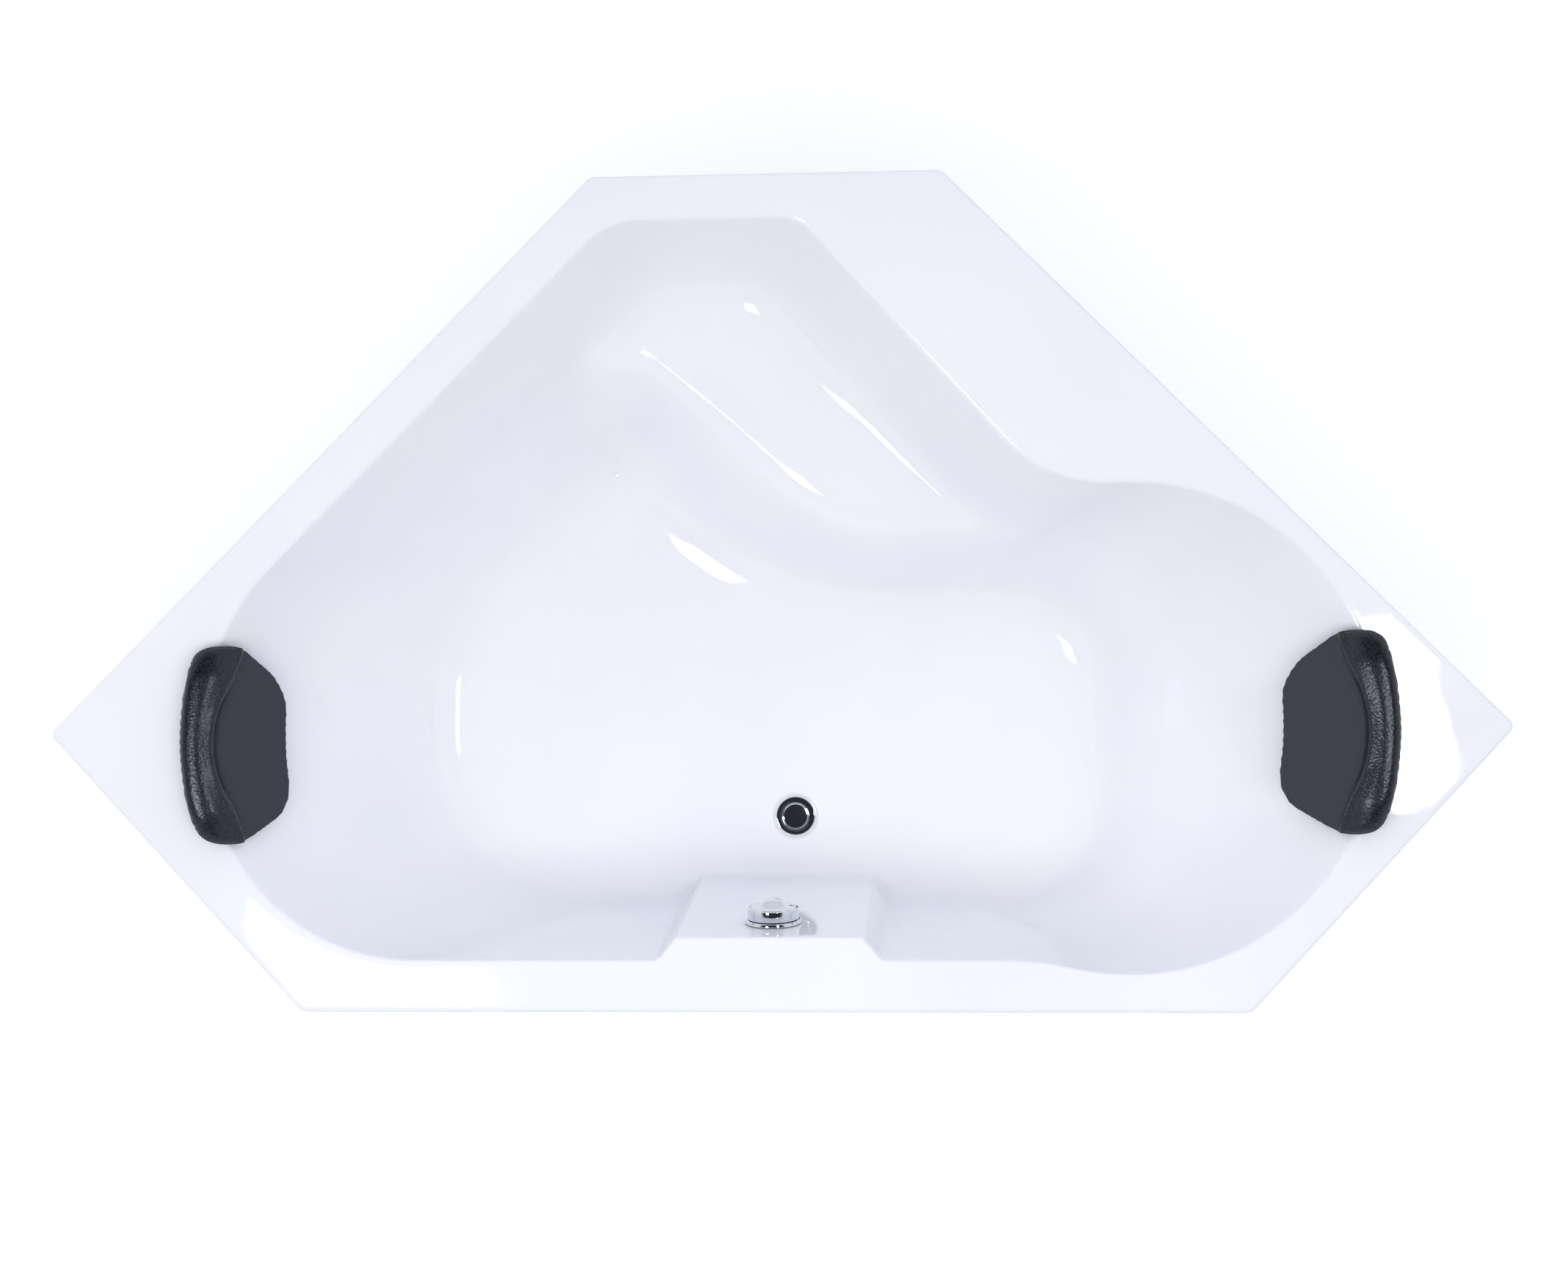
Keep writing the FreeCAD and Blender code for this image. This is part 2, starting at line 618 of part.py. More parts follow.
POST_TOP = BATTEN_BOTTOM
posts = [("left", "(-" + TIP_X + " + post_from_tip)", TIPS_Y),
         ("right", "(" + TIP_X + " - post_from_tip)", TIPS_Y),
         ("back", "0", "(" + BACK_Y + " - post_from_back)")]
post_screws = []
for side, middle_x, middle_y in posts:
    low_x = middle_x + " - post_size / 2"
    low_y = middle_y + " - post_size / 2"
    tube_length = POST_TOP + " - post_plate_thick - post_bottom"
    outer, inner = square_tube("Post_" + side, "post_size", tube_length, low_x, low_y, "post_bottom", True)
    plate_depth = "post_size" if side == "back" else "post_plate"
    plate = box("Post_" + side + "_plate", "post_plate", plate_depth, "post_plate_thick",
                middle_x + " - post_plate / 2", middle_y + " - " + plate_depth + " / 2",
                POST_TOP + " - post_plate_thick")
    cap = box("Post_" + side + "_end", "post_size", "post_size", "rail_wall", low_x, low_y, "post_bottom")
    hole = cylinder("Post_" + side + "_hole", "leg_radius + clear_gap", "3 * rail_wall", middle_x, middle_y,
                    "post_bottom - rail_wall")
    screw_holes = []
    for end in ("-", "+"):
        screw_x = middle_x + " " + end + " (post_plate / 2 - 2 * screw_head_radius)"
        hole_name = "Post_%s_%s" % (side, "low" if end == "-" else "high")
        screw_holes.append(cylinder(hole_name + "_hole", "screw_radius + clear_gap", "3 * post_plate_thick",
                                    screw_x, middle_y, POST_TOP + " - 2 * post_plate_thick"))
        post_screws.append((screw_x, middle_y, POST_TOP + " - post_plate_thick"))
    tube = cut("Post_%s_tube" % side, outer, inner)
    piece(cut("Post_" + side, fuse("Post_%s_welded" % side, tube, plate, cap), hole, *screw_holes),
          "rim_post_" + side)
    legs.append((middle_x, middle_y, "post_bottom"))

threaded, nuts, feet = [], [], []
for index, (leg_x, leg_y, seat_z) in enumerate(legs):
    name = "Leg%d" % index
    rod_top = seat_z + " + leg_in_tube"
    threaded.append(cylinder(name, "leg_radius", rod_top + " - foot_thick - clear_gap", leg_x, leg_y,
                             "foot_thick + clear_gap"))
    hexagon = doc.addObject("Part::Prism", name + "_hexagon")
    hexagon.Polygon = 6
    hexagon.setExpression("Circumradius", bound("nut_radius"))
    hexagon.setExpression("Height", bound("nut_height"))
    put(hexagon, leg_x, leg_y, seat_z + " - nut_height")
    nut_hole = cylinder(name + "_nut_hole", "leg_radius + running_gap", "nut_height + 2", leg_x, leg_y,
                        seat_z + " - nut_height - 1")
    nuts.append(cut(name + "_nut", hexagon, nut_hole))
    feet.append(turned(name + "_foot", [
        ("0", "0"), ("foot_radius", "0"), ("foot_radius", "foot_thick * 0.5"),
        ("foot_hub_radius", "foot_thick"),
        ("foot_hub_radius", "foot_thick + foot_hub_height"),
        ("leg_radius + clear_gap", "foot_thick + foot_hub_height"), ("leg_radius + clear_gap", "foot_thick"),
        ("0", "foot_thick")], leg_x, leg_y, "0"))
piece(group("ThreadedLegs", threaded), "threaded_legs")
piece(group("LockNuts", nuts), "lock_nuts")
piece(group("FootPads", feet), "foot_pads")


def wood_screw(name, x, y, head_top, length):
    """A screw driven upwards, its head's upper face at head_top."""
    head = cylinder(name + "_head", "screw_head_radius", "screw_head_thick", x, y,
                    head_top + " - screw_head_thick")
    shank = cylinder(name + "_shank", "screw_radius", length + " + screw_head_thick / 2", x, y,
                     head_top + " - screw_head_thick / 2")
    return fuse(name, head, shank)


def drilled(wood, name, places, bottom, depth):
    """The wood with a blind hole over each screw."""
    holes = []
    for i, (x, y) in enumerate(places):
        holes.append(cylinder("%s_hole%d" % (name, i), "screw_radius + running_gap", depth + " + 1", x, y,
                              bottom + " - 1"))
    return cut(name, wood, *holes)


# Screws through both walls of each rail into the floor board.
rail_places = []
for side, sign in (("left", "-"), ("right", "")):
    for share in ("0.3", "0.7"):
        rail_places.append(("(" + sign + "rail_spacing / 2)",
                            "(" + RAIL_Y + " + rail_length * " + share + ")"))
rail_screws = [wood_screw("RailScrew%d" % i, x, y, RAIL_BOTTOM, "rail_size + 10")
               for i, (x, y) in enumerate(rail_places)]
piece(group("RailScrews", rail_screws), "rail_screws")
for label, places in (("cross_rail_left", rail_places[0:2]), ("cross_rail_right", rail_places[2:4])):
    rail = [made for made in PIECES if made.Label == label][0]
    PIECES.remove(rail)
    rail.Label = label + "_blank"
    piece(drilled(rail, "Drilled_" + label, places, RAIL_BOTTOM, "rail_size"), label)
plain_board = [made for made in PIECES if made.Label == "floor_board"][0]
PIECES.remove(plain_board)
plain_board.Label = "floor_board_blank"
piece(drilled(plain_board, "Drilled_floor_board", rail_places, BOARD_BOTTOM, "12"), "floor_board")

screws = [wood_screw("PostScrew%d" % i, x, y, z, "post_plate_thick + batten_thick - 6")
          for i, (x, y, z) in enumerate(post_screws)]
piece(group("PostScrews", screws), "post_screws")
for label, places in (("tip_board_left", post_screws[0:2]), ("tip_board_right", post_screws[2:4]),
                      ("back_batten", post_screws[4:6])):
    wood = [made for made in PIECES if made.Label == label][0]
    PIECES.remove(wood)
    wood.Label = label + "_blank"
    piece(drilled(wood, "Drilled_" + label, [(x, y) for x, y, z in places], BATTEN_BOTTOM,
                  "(batten_thick - 5)"), label)

# ---------------------------------------------------------------- drain in the floor
DRAIN_X = "drain_x"
SEAL_TOP = "(" + RECESS_Z + " + seal_thick / 2)"
TAIL_BOTTOM = "(" + SEAL_TOP + " - flange_tail_length)"
inner_tail = "(flange_tail_radius - flange_wall)"
FLANGE_TOP = "flange_thick"
flange = turned("DrainFlange", [
    ("flange_tail_radius", "0"), ("flange_radius", "0"), ("flange_radius", "flange_thick * 0.6"),
    ("flange_radius - flange_thick * 0.6", "flange_thick"), ("plug_radius + plug_gap + 1", "flange_thick"),
    ("plug_radius + plug_gap", "flange_thick - 1"), ("plug_radius + plug_gap", "flange_thick * 0.4"),
    (inner_tail, "flange_thick * 0.14"), (inner_tail, "-flange_tail_length"),
    ("flange_tail_radius", "-flange_tail_length")],
    DRAIN_X, DRAIN_Y, SEAL_TOP)
ARM_Z = "(" + SEAL_TOP + " - flange_tail_length + 6)"
arm_x = box("StrainerArmX", "2 * " + inner_tail + " + 1", "3", "4", "drain_x - " + inner_tail + " - 0.5",
            DRAIN_Y + " - 1.5", ARM_Z)
arm_y = box("StrainerArmY", "3", "2 * " + inner_tail + " + 1", "4", "drain_x - 1.5",
            DRAIN_Y + " - " + inner_tail + " - 0.5", ARM_Z)
hub = cylinder("StrainerHub", "hub_radius", "10", DRAIN_X, DRAIN_Y, ARM_Z)
hub_bore = cylinder("StrainerBore", "stem_radius + running_gap", "30", DRAIN_X, DRAIN_Y, ARM_Z + " - 10")
piece(cut("DrainFlangeDone", fuse("DrainFlangeSpider", flange, arm_x, arm_y, hub), hub_bore), "drain_flange")
piece(turned("UpperSeal", [
    ("drain_hole_radius", "0"), ("flange_radius - 1", "0"), ("flange_radius - 1", "seal_thick / 2"),
    ("drain_hole_radius", "seal_thick / 2")], DRAIN_X, DRAIN_Y, RECESS_Z), "drain_upper_seal")
BACK_Z = "(" + RECESS_Z + " - acrylic - bond_gap - backing)"
piece(turned("LowerSeal", [
    ("drain_hole_radius", "0"), ("drain_flange_radius - 2", "0"), ("drain_flange_radius - 2", "-seal_thick"),
    ("drain_hole_radius", "-seal_thick")], DRAIN_X, DRAIN_Y, BACK_Z), "drain_lower_seal")

BODY_TOP = "(" + BACK_Z + " - seal_thick)"
BODY_FLOOR = "(" + BODY_TOP + " - drain_body_height)"
bore = "(flange_tail_radius + clear_gap)"
body_outer = turned("DrainBodyBlank", [
    ("0", "0"), ("drain_flange_radius", "0"), ("drain_flange_radius", "-4"), ("drain_body_radius", "-6"),
    ("drain_body_radius", "-drain_body_height"), ("pipe_radius", "-drain_body_height"),
    ("pipe_radius", "-drain_body_height - dip_length"), ("0", "-drain_body_height - dip_length")],
    DRAIN_X, DRAIN_Y, BODY_TOP)
body_inner = turned("DrainBodyHollow", [
    ("0", "1"), (bore, "1"), (bore, "-drain_body_height + drain_body_wall"),
    ("pipe_radius - pipe_wall", "-drain_body_height + drain_body_wall - 1"),
    ("pipe_radius - pipe_wall", "-drain_body_height - dip_length - 1"),
    ("0", "-drain_body_height - dip_length - 1")],
    DRAIN_X, DRAIN_Y, BODY_TOP)
TO_FRONT = Rotation(Vector(1, 0, 0), 90)
PORT_Z = "(" + BODY_TOP + " - drain_body_height + hose_radius)"
# The port points at the foot of the hose, which comes down behind the panel.
hose_x = number("panel_x")
hose_y = (number(FACE_Y) + (number(FACE_Z) - number(PORT_Z)) * math.tan(math.radians(slope))
          + number(SPIGOT_W) / math.cos(math.radians(slope)))
port_turn = math.degrees(math.atan2(hose_x - number("drain_x"), drain_y - hose_y))
TO_HOSE = Rotation(Vector(0, 0, 1), port_turn).multiply(TO_FRONT)
port_outer = rod("HosePort", "hose_radius - hose_wall", "drain_body_radius + 26", DRAIN_X, DRAIN_Y, PORT_Z,
                 TO_HOSE)
port_inner = rod("HosePortBore", "hose_radius - 2 * hose_wall", "drain_body_radius + 28", DRAIN_X, DRAIN_Y,
                 PORT_Z, TO_HOSE)
# The lever's pin lies beside the stem, in a box on the body's right.
PIN_X = "(drain_x + lever_arm)"
PIN_Z = "(" + BODY_TOP + " - 30)"
HOUSE_X = "(drain_x + drain_body_radius - 8)"
house = box("LeverHouse", "28", "lever_width + 10", "26", HOUSE_X, DRAIN_Y + " - lever_width / 2 - 5",
            PIN_Z + " - 13")
house_inner = box("LeverRoom", "34", "lever_width + 4", "20", HOUSE_X + " - 9",
                  DRAIN_Y + " - lever_width / 2 - 2", PIN_Z + " - 10")
pin_bore = rod("PinBore", "lever_pin_radius + 0.02", "lever_width + 14", PIN_X,
               DRAIN_Y + " + lever_width / 2 + 7", PIN_Z, TO_FRONT)
cable_bore = cylinder("CableBore", "cable_radius + clear_gap", "14", PIN_X + " + 9", DRAIN_Y, PIN_Z + " - 20")
piece(cut("DrainBodyDone", fuse("DrainBodyShape", body_outer, port_outer, house), body_inner, port_inner,
          house_inner, pin_bore, cable_bore), "drain_body")
piece(rod("LeverPinRod", "lever_pin_radius", "lever_width + 10", PIN_X, DRAIN_Y + " + lever_width / 2 + 5",
          PIN_Z, TO_FRONT), "lever_pin")

# Lever: hub on the pin, arm to a rounded nose under the stem, short arm to the cable. It is made level
# and then swung down by its rest angle.
lever_hub = rod("LeverHub", "lever_pin_radius + 2.5", "lever_width", "0", "lever_width / 2", "0", TO_FRONT)
lever_nose = rod("LeverNose", "lever_nose_radius", "lever_width", "-lever_arm", "lever_width / 2", "0",
                 TO_FRONT)
lever_bar = box("LeverBar", "lever_arm + 9", "lever_width", "3", "-lever_arm", "-lever_width / 2", "-1.5")
lever_bore = rod("LeverBore", "lever_pin_radius + running_gap", "lever_width + 2", "0",
                 "lever_width / 2 + 1", "0", TO_FRONT)
lever = cut("LiftLever", fuse("LeverShape", lever_hub, lever_nose, lever_bar), lever_bore)
lever.Placement.Rotation = Rotation(Vector(0, 1, 0), -number("lever_rest_angle"))
piece(put(lever, PIN_X, DRAIN_Y, PIN_Z), "lift_lever")

# Plug: cap, stem and a ring seal move together.
CAP_TOP = "(" + SEAL_TOP + " + flange_thick)"
piece(turned("PlugCap", [
    ("0", "0"), ("plug_radius - 2.5", "0"), ("plug_radius", "-0.7"), ("plug_radius", "-1.3"),
    (inner_tail + " - 1", "-1.3"), (inner_tail + " - 1", "-plug_thick"), ("0", "-plug_thick")],
    DRAIN_X, DRAIN_Y, CAP_TOP), "plug_cap")
NOSE_TOP = "(" + PIN_Z + " - lever_arm * sin(lever_rest_angle) + lever_nose_radius)"
piece(cylinder("PlugStem", "stem_radius", CAP_TOP + " - plug_thick - " + NOSE_TOP + " - clear_gap", DRAIN_X,
               DRAIN_Y, NOSE_TOP + " + clear_gap"), "plug_stem")
piece(turned("PlugSeal", [
    (inner_tail + " - 1", "-1.3"), ("plug_radius - 0.5", "-1.3"), ("plug_radius - 0.5", "-1.85"),
    (inner_tail + " - 1", "-2.45")], DRAIN_X, DRAIN_Y, CAP_TOP), "plug_seal")

# ---------------------------------------------------------------- trap and outlet under the drain
TRAP_TOP = "(" + BODY_FLOOR + " - trap_drop)"
TRAP_BOTTOM = "(" + TRAP_TOP + " - trap_height)"
spigot_z = "(" + TRAP_TOP + " - pipe_radius - 3)"
cup_outer = cylinder("TrapOuter", "trap_radius", "trap_height", DRAIN_X, DRAIN_Y, TRAP_BOTTOM)
cup_inner = cylinder("TrapInner", "trap_radius - pipe_wall", "trap_height - 2 * pipe_wall", DRAIN_X, DRAIN_Y,
                     TRAP_BOTTOM + " + pipe_wall")
dip_hole = cylinder("TrapDipHole", "pipe_radius + clear_gap", "3 * pipe_wall", DRAIN_X, DRAIN_Y,
                    TRAP_TOP + " - 2 * pipe_wall")
TO_BACK = Rotation(Vector(1, 0, 0), -90)
spigot = rod("TrapSpigot", "pipe_radius + pipe_wall", "trap_radius + 22", DRAIN_X, DRAIN_Y, spigot_z, TO_BACK)
spigot_bore = rod("TrapSpigotBore", "pipe_radius + clear_gap", "trap_radius + 24", DRAIN_X, DRAIN_Y, spigot_z,
                  TO_BACK)
trap_shape = cut("TrapHollow", fuse("TrapShape", cup_outer, spigot), cup_inner)
piece(cut("TrapDone", trap_shape, dip_hole, spigot_bore), "trap_cup")
PIPE_START = "(" + DRAIN_Y + " + trap_radius + 2)"
FREE_START = "(" + PIPE_START + " + outlet_length - outlet_free_length)"
outlet_outer = fuse(
    "OutletOuter",
    rod("OutletInTrap", "pipe_radius - clear_gap", "outlet_length - outlet_free_length", DRAIN_X, PIPE_START,
        spigot_z, TO_BACK),
    rod("OutletCollar", "pipe_radius + outlet_collar", "outlet_collar_width", DRAIN_X,
        FREE_START + " - outlet_collar_width", spigot_z, TO_BACK),
    rod("OutletFree", "pipe_radius", "outlet_free_length", DRAIN_X, FREE_START, spigot_z, TO_BACK))
outlet_inner = rod("OutletInner", "pipe_radius - pipe_wall", "outlet_length + 2", DRAIN_X,
                   PIPE_START + " - 1", spigot_z, TO_BACK)
piece(cut("OutletPipe", outlet_outer, outlet_inner), "outlet_pipe")


def slip_nut(name, inner, x, y, z, rotation):
    """A ribbed plastic nut drawn as a ring with six grip ribs."""
    ring = cylinder(name + "_ring", inner + " + 6", "14")
    ribs = []
    for index in range(6):
        angle = index * 60
        rib = cylinder("%s_rib%d" % (name, index), "3", "14",
                       "(" + inner + " + 6) * cos(%d)" % angle, "(" + inner + " + 6) * sin(%d)" % angle, "0")
        ribs.append(rib)
    nut_bore = cylinder(name + "_bore", inner + " + clear_gap", "16", "0", "0", "-1")
    nut = cut(name, fuse(name + "_shape", ring, *ribs), nut_bore)
    nut.Placement.Rotation = rotation
    return put(nut, x, y, z)


piece(slip_nut("TrapNut", "pipe_radius", DRAIN_X, DRAIN_Y, TRAP_TOP, Rotation()), "trap_nut")
piece(slip_nut("OutletNut", "pipe_radius", DRAIN_X, DRAIN_Y + " + trap_radius + 22", spigot_z, TO_BACK),
      "outlet_nut")

# ---------------------------------------------------------------- overflow in the panel
# Made about the axis of the knob, which is the panel's normal, and then leaned with the panel.
LEANED = []


def leaned(made, label):
    """Moves a piece from the knob's own axes to the panel."""
    made.Placement.Rotation = face_rotation
    put(made, "panel_x", FACE_Y, FACE_Z)
    return piece(made, label)


plate = turned("Faceplate", [
    ("spindle_radius + running_gap", "clear_gap"), ("faceplate_radius", "clear_gap"),
    ("faceplate_radius", "faceplate_thick - 2"), ("faceplate_radius - 2", "faceplate_thick"),
    ("spindle_radius + running_gap", "faceplate_thick")])
half_spread = "(overflow_screw_spread / 2)"
plate_cuts = []
for mark, side in (("A", "-"), ("B", "+")):
    screw_x = "0 " + side + " " + half_spread
    plate_cuts.append(cylinder("PlateScrewHole" + mark, "screw_radius + clear_gap", "faceplate_thick + 2",
                               screw_x, "0", "-1"))
    plate_cuts.append(cylinder("PlateHeadSink" + mark, "screw_head_radius + clear_gap", "faceplate_thick",
                               screw_x, "0", "faceplate_thick - screw_head_thick - clear_gap"))
for index, angle in enumerate((55, 90, 125)):
    plate_cuts.append(cylinder("PlateInlet%d" % index, "4", "faceplate_thick + 2",
                               "(overflow_hole_radius - 6) * cos(%d)" % angle,
                               "(overflow_hole_radius - 6) * sin(%d)" % angle, "-1"))
leaned(cut("FaceplateDone", plate, *plate_cuts), "overflow_faceplate")

KNOB_LOW = "(faceplate_thick + knob_gap)"
KNOB_TOP = "(faceplate_thick + knob_gap + knob_band)"
knob_cap = turned("KnobCap", [
    ("0", KNOB_TOP + " + knob_dome + knob_boss"),
    ("knob_boss_radius * 0.5", KNOB_TOP + " + knob_dome + knob_boss * 0.85"),
    ("knob_boss_radius * 0.8", KNOB_TOP + " + knob_dome + knob_boss * 0.45"),
    ("knob_boss_radius", KNOB_TOP + " + knob_dome * 0.75"),
    ("knob_radius * 0.8", KNOB_TOP + " + knob_dome * 0.35"), ("knob_radius - 1", KNOB_TOP),
    ("knob_radius", KNOB_TOP + " - 1"), ("knob_radius", KNOB_LOW), ("knob_radius - knob_wall", KNOB_LOW),
    ("knob_radius - knob_wall", KNOB_TOP + " - knob_wall"), ("spindle_radius + 5", KNOB_TOP + " - knob_wall"),
    ("spindle_radius + 5", KNOB_LOW), ("0", KNOB_LOW)])
SPINDLE_TOP = "(" + KNOB_TOP + " - knob_wall - 2)"
spindle_bore = cylinder("KnobBore", "spindle_radius + running_gap",
                        SPINDLE_TOP + " + 0.5 - " + KNOB_LOW + " + 1", "0", "0", KNOB_LOW + " - 1")
grub_bore = rod("KnobGrubBore", "1.5 + running_gap", "knob_radius + 2", "0", "0",
                KNOB_LOW + " + knob_band / 2", TO_BACK)
leaned(cut("OverflowKnob", knob_cap, spindle_bore, grub_bore), "overflow_knob")
knob_grub = rod("KnobGrub", "1.5", "5", "0", "spindle_radius", KNOB_LOW + " + knob_band / 2", TO_BACK)
leaned(group("KnobGrubLeaned", [knob_grub]), "knob_screw")

GASKET_FRONT = "(" + ELBOW_FRONT + " + gasket_thick)"
leaned(turned("OverflowGasket", [
    ("overflow_hole_radius", ELBOW_FRONT), ("elbow_radius + 4", ELBOW_FRONT),
    ("elbow_radius + 4", GASKET_FRONT), ("overflow_hole_radius", GASKET_FRONT)]), "overflow_gasket")
elbow_outer = turned("ElbowOuter", [
    ("0", ELBOW_FRONT), ("elbow_radius + 6", ELBOW_FRONT), ("elbow_radius + 6", ELBOW_FRONT + " - 4"),
    ("elbow_radius", ELBOW_FRONT + " - 4"), ("elbow_radius", ELBOW_FRONT + " - elbow_depth"),
    ("0", ELBOW_FRONT + " - elbow_depth")])
elbow_inner = turned("ElbowInner", [
    ("0", ELBOW_FRONT + " + 1"), ("overflow_hole_radius - 2", ELBOW_FRONT + " + 1"),
    ("elbow_radius - elbow_wall", ELBOW_FRONT + " - 4"),
    ("elbow_radius - elbow_wall", ELBOW_FRONT + " - elbow_depth + elbow_wall"),
    ("0", ELBOW_FRONT + " - elbow_depth + elbow_wall")])
spout_radius = "(hose_radius - hose_wall)"
spout = rod("ElbowSpout", spout_radius, "elbow_radius + 30", "0", "0", SPIGOT_W, TO_BACK)
spout_bore = rod("ElbowSpoutBore", spout_radius + " - hose_wall", "elbow_radius + 32", "0", "0", SPIGOT_W,
                 TO_BACK)
bosses, boss_holes = [], []
for mark, side in (("A", "-"), ("B", "+")):
    boss_x = "0 " + side + " " + half_spread
    bosses.append(cylinder("ElbowBoss" + mark, "screw_radius + 3", "elbow_depth - 2", boss_x, "0",
                           ELBOW_FRONT + " - elbow_depth + 1"))
    boss_holes.append(cylinder("ElbowBossHole" + mark, "screw_radius + running_gap", "elbow_depth", boss_x,
                               "0", ELBOW_FRONT + " - elbow_depth + elbow_wall + 4"))
elbow_hollow = cut("ElbowHollow", fuse("ElbowShape", elbow_outer, spout), elbow_inner, spout_bore)
ELBOW_BACK = "(" + ELBOW_FRONT + " - elbow_depth)"
bearing = cylinder("ElbowBearing", "spindle_radius + 4", "8", "0", "0", ELBOW_BACK + " + 1")
bearing_bore = cylinder("ElbowBearingBore", "spindle_radius + running_gap", "8", "0", "0",
                        ELBOW_BACK + " + 3")
sheath_hole = rod("ElbowSheathHole", "cable_radius + clear_gap", "30", "cable_side", "12", SPIGOT_W, TO_BACK)
leaned(cut("ElbowDone", fuse("ElbowBossed", elbow_hollow, bearing, *bosses), bearing_bore, sheath_hole,
           *boss_holes), "overflow_body")
clamp_screws = []
head_low = "(faceplate_thick - screw_head_thick - clear_gap)"
for mark, side in (("A", "-"), ("B", "+")):
    screw_x = "0 " + side + " " + half_spread
    head = cylinder("ClampHead" + mark, "screw_head_radius", "screw_head_thick", screw_x, "0", head_low)
    shank = cylinder("ClampShank" + mark, "screw_radius", head_low + " - " + ELBOW_FRONT + " + 13", screw_x,
                     "0", ELBOW_FRONT + " - 12")
    clamp_screws.append(fuse("ClampScrew" + mark, head, shank))
leaned(group("ClampScrews", clamp_screws), "overflow_screws")
spindle = cylinder("Spindle", "spindle_radius", SPINDLE_TOP + " - " + ELBOW_BACK + " - 4", "0", "0",
                   ELBOW_BACK + " + 4")
leaned(group("SpindleLeaned", [spindle]), "knob_spindle")
cam_disc = cylinder("CamDisc", "11", "6", "0", "0", SPIGOT_W + " - 2")
cam_ear = box("CamEar", "8", "5", "6", "6", "-2.5", SPIGOT_W + " - 2")
cam_bore = cylinder("CamBore", "spindle_radius + running_gap", "10", "0", "0", SPIGOT_W + " - 4")
leaned(cut("CableCam", fuse("CamShape", cam_disc, cam_ear), cam_bore), "cable_cam")

# ---------------------------------------------------------------- hose and cable from overflow to drain
down_panel = face_rotation.multVec(Vector(0, 1, 0))
spout_end = face_point + down_panel * number("elbow_radius + 30") + panel_normal * number(SPIGOT_W)
hose_start = spout_end - down_panel * 24
port_axis = Vector(hose_x - number("drain_x"), hose_y - drain_y, 0).normalize()
drain_point = Vector(number("drain_x"), drain_y, number(PORT_Z))
hose_end = drain_point + port_axis * (number("drain_body_radius") + 2)
hose_points = [hose_start, Vector(hose_x, hose_y, number(PORT_Z)), hose_end]
hose_bends = [number("hose_bend")]
hose = swept_rod(hose_points, hose_bends, number("hose_radius")).cut(
    swept_rod(hose_points, hose_bends, number("hose_radius - hose_wall") + 0.1))
piece(solid("OverflowHose", hose), "overflow_hose")
clips = []
for place, axis in ((hose_start + down_panel * 8, down_panel), (hose_end + port_axis * 6, port_axis)):
    outer_clip = Part.makeCylinder(number("hose_radius") + 2, 9, place, axis)
    inner_clip = Part.makeCylinder(number("hose_radius"), 9, place, axis)
    clips.append(outer_clip.cut(inner_clip))
piece(solid("HoseClips", Part.makeCompound(clips)), "hose_clips")

# The sheath leaves the elbow beside the hose, passes under the floor board and comes up into the lever's
# box from below; the wire shows at both ends.
behind = face_point + panel_normal * number(SPIGOT_W) + Vector(number("cable_side"), 0, 0)
sheath_start = behind + down_panel * (number("elbow_radius") - 12)
run_z = number(PIN_Z) - 13 - number("cable_bend")
sheath_turn = sheath_start + down_panel * ((sheath_start.z - run_z) / -down_panel.z)
crank_x = number(PIN_X) + 9
cable_points = [sheath_start, sheath_turn, Vector(crank_x, drain_y, run_z),
                Vector(crank_x, drain_y, number(PIN_Z) - 11)]
cable_bends = [number("cable_fall_bend"), number("cable_bend")]
cable = swept_rod(cable_points, cable_bends, number("cable_radius"))
wire_radius = number("wire_radius")
cam_end = face_point + panel_normal * number(SPIGOT_W) + Vector(11, 0, 0) + down_panel * 3.6
wire_run = sheath_start + down_panel - cam_end
wires = [Part.makeCylinder(wire_radius, wire_run.Length, cam_end, wire_run),
         Part.makeCylinder(wire_radius, 8, Vector(crank_x, drain_y, number(PIN_Z) - 12))]
piece(solid("Cable", cable.multiFuse(wires)), "bowden_cable")

# ---------------------------------------------------------------- headrests and their suction cups
headrest_gap = number("headrest_gap")
pad_room = basin_space(-headrest_gap, 2)
over_rim = Part.makeBox(3000, 3000, 200, Vector(-1500, -1500, rim_z + headrest_gap))
allowed = pad_room.fuse(over_rim)


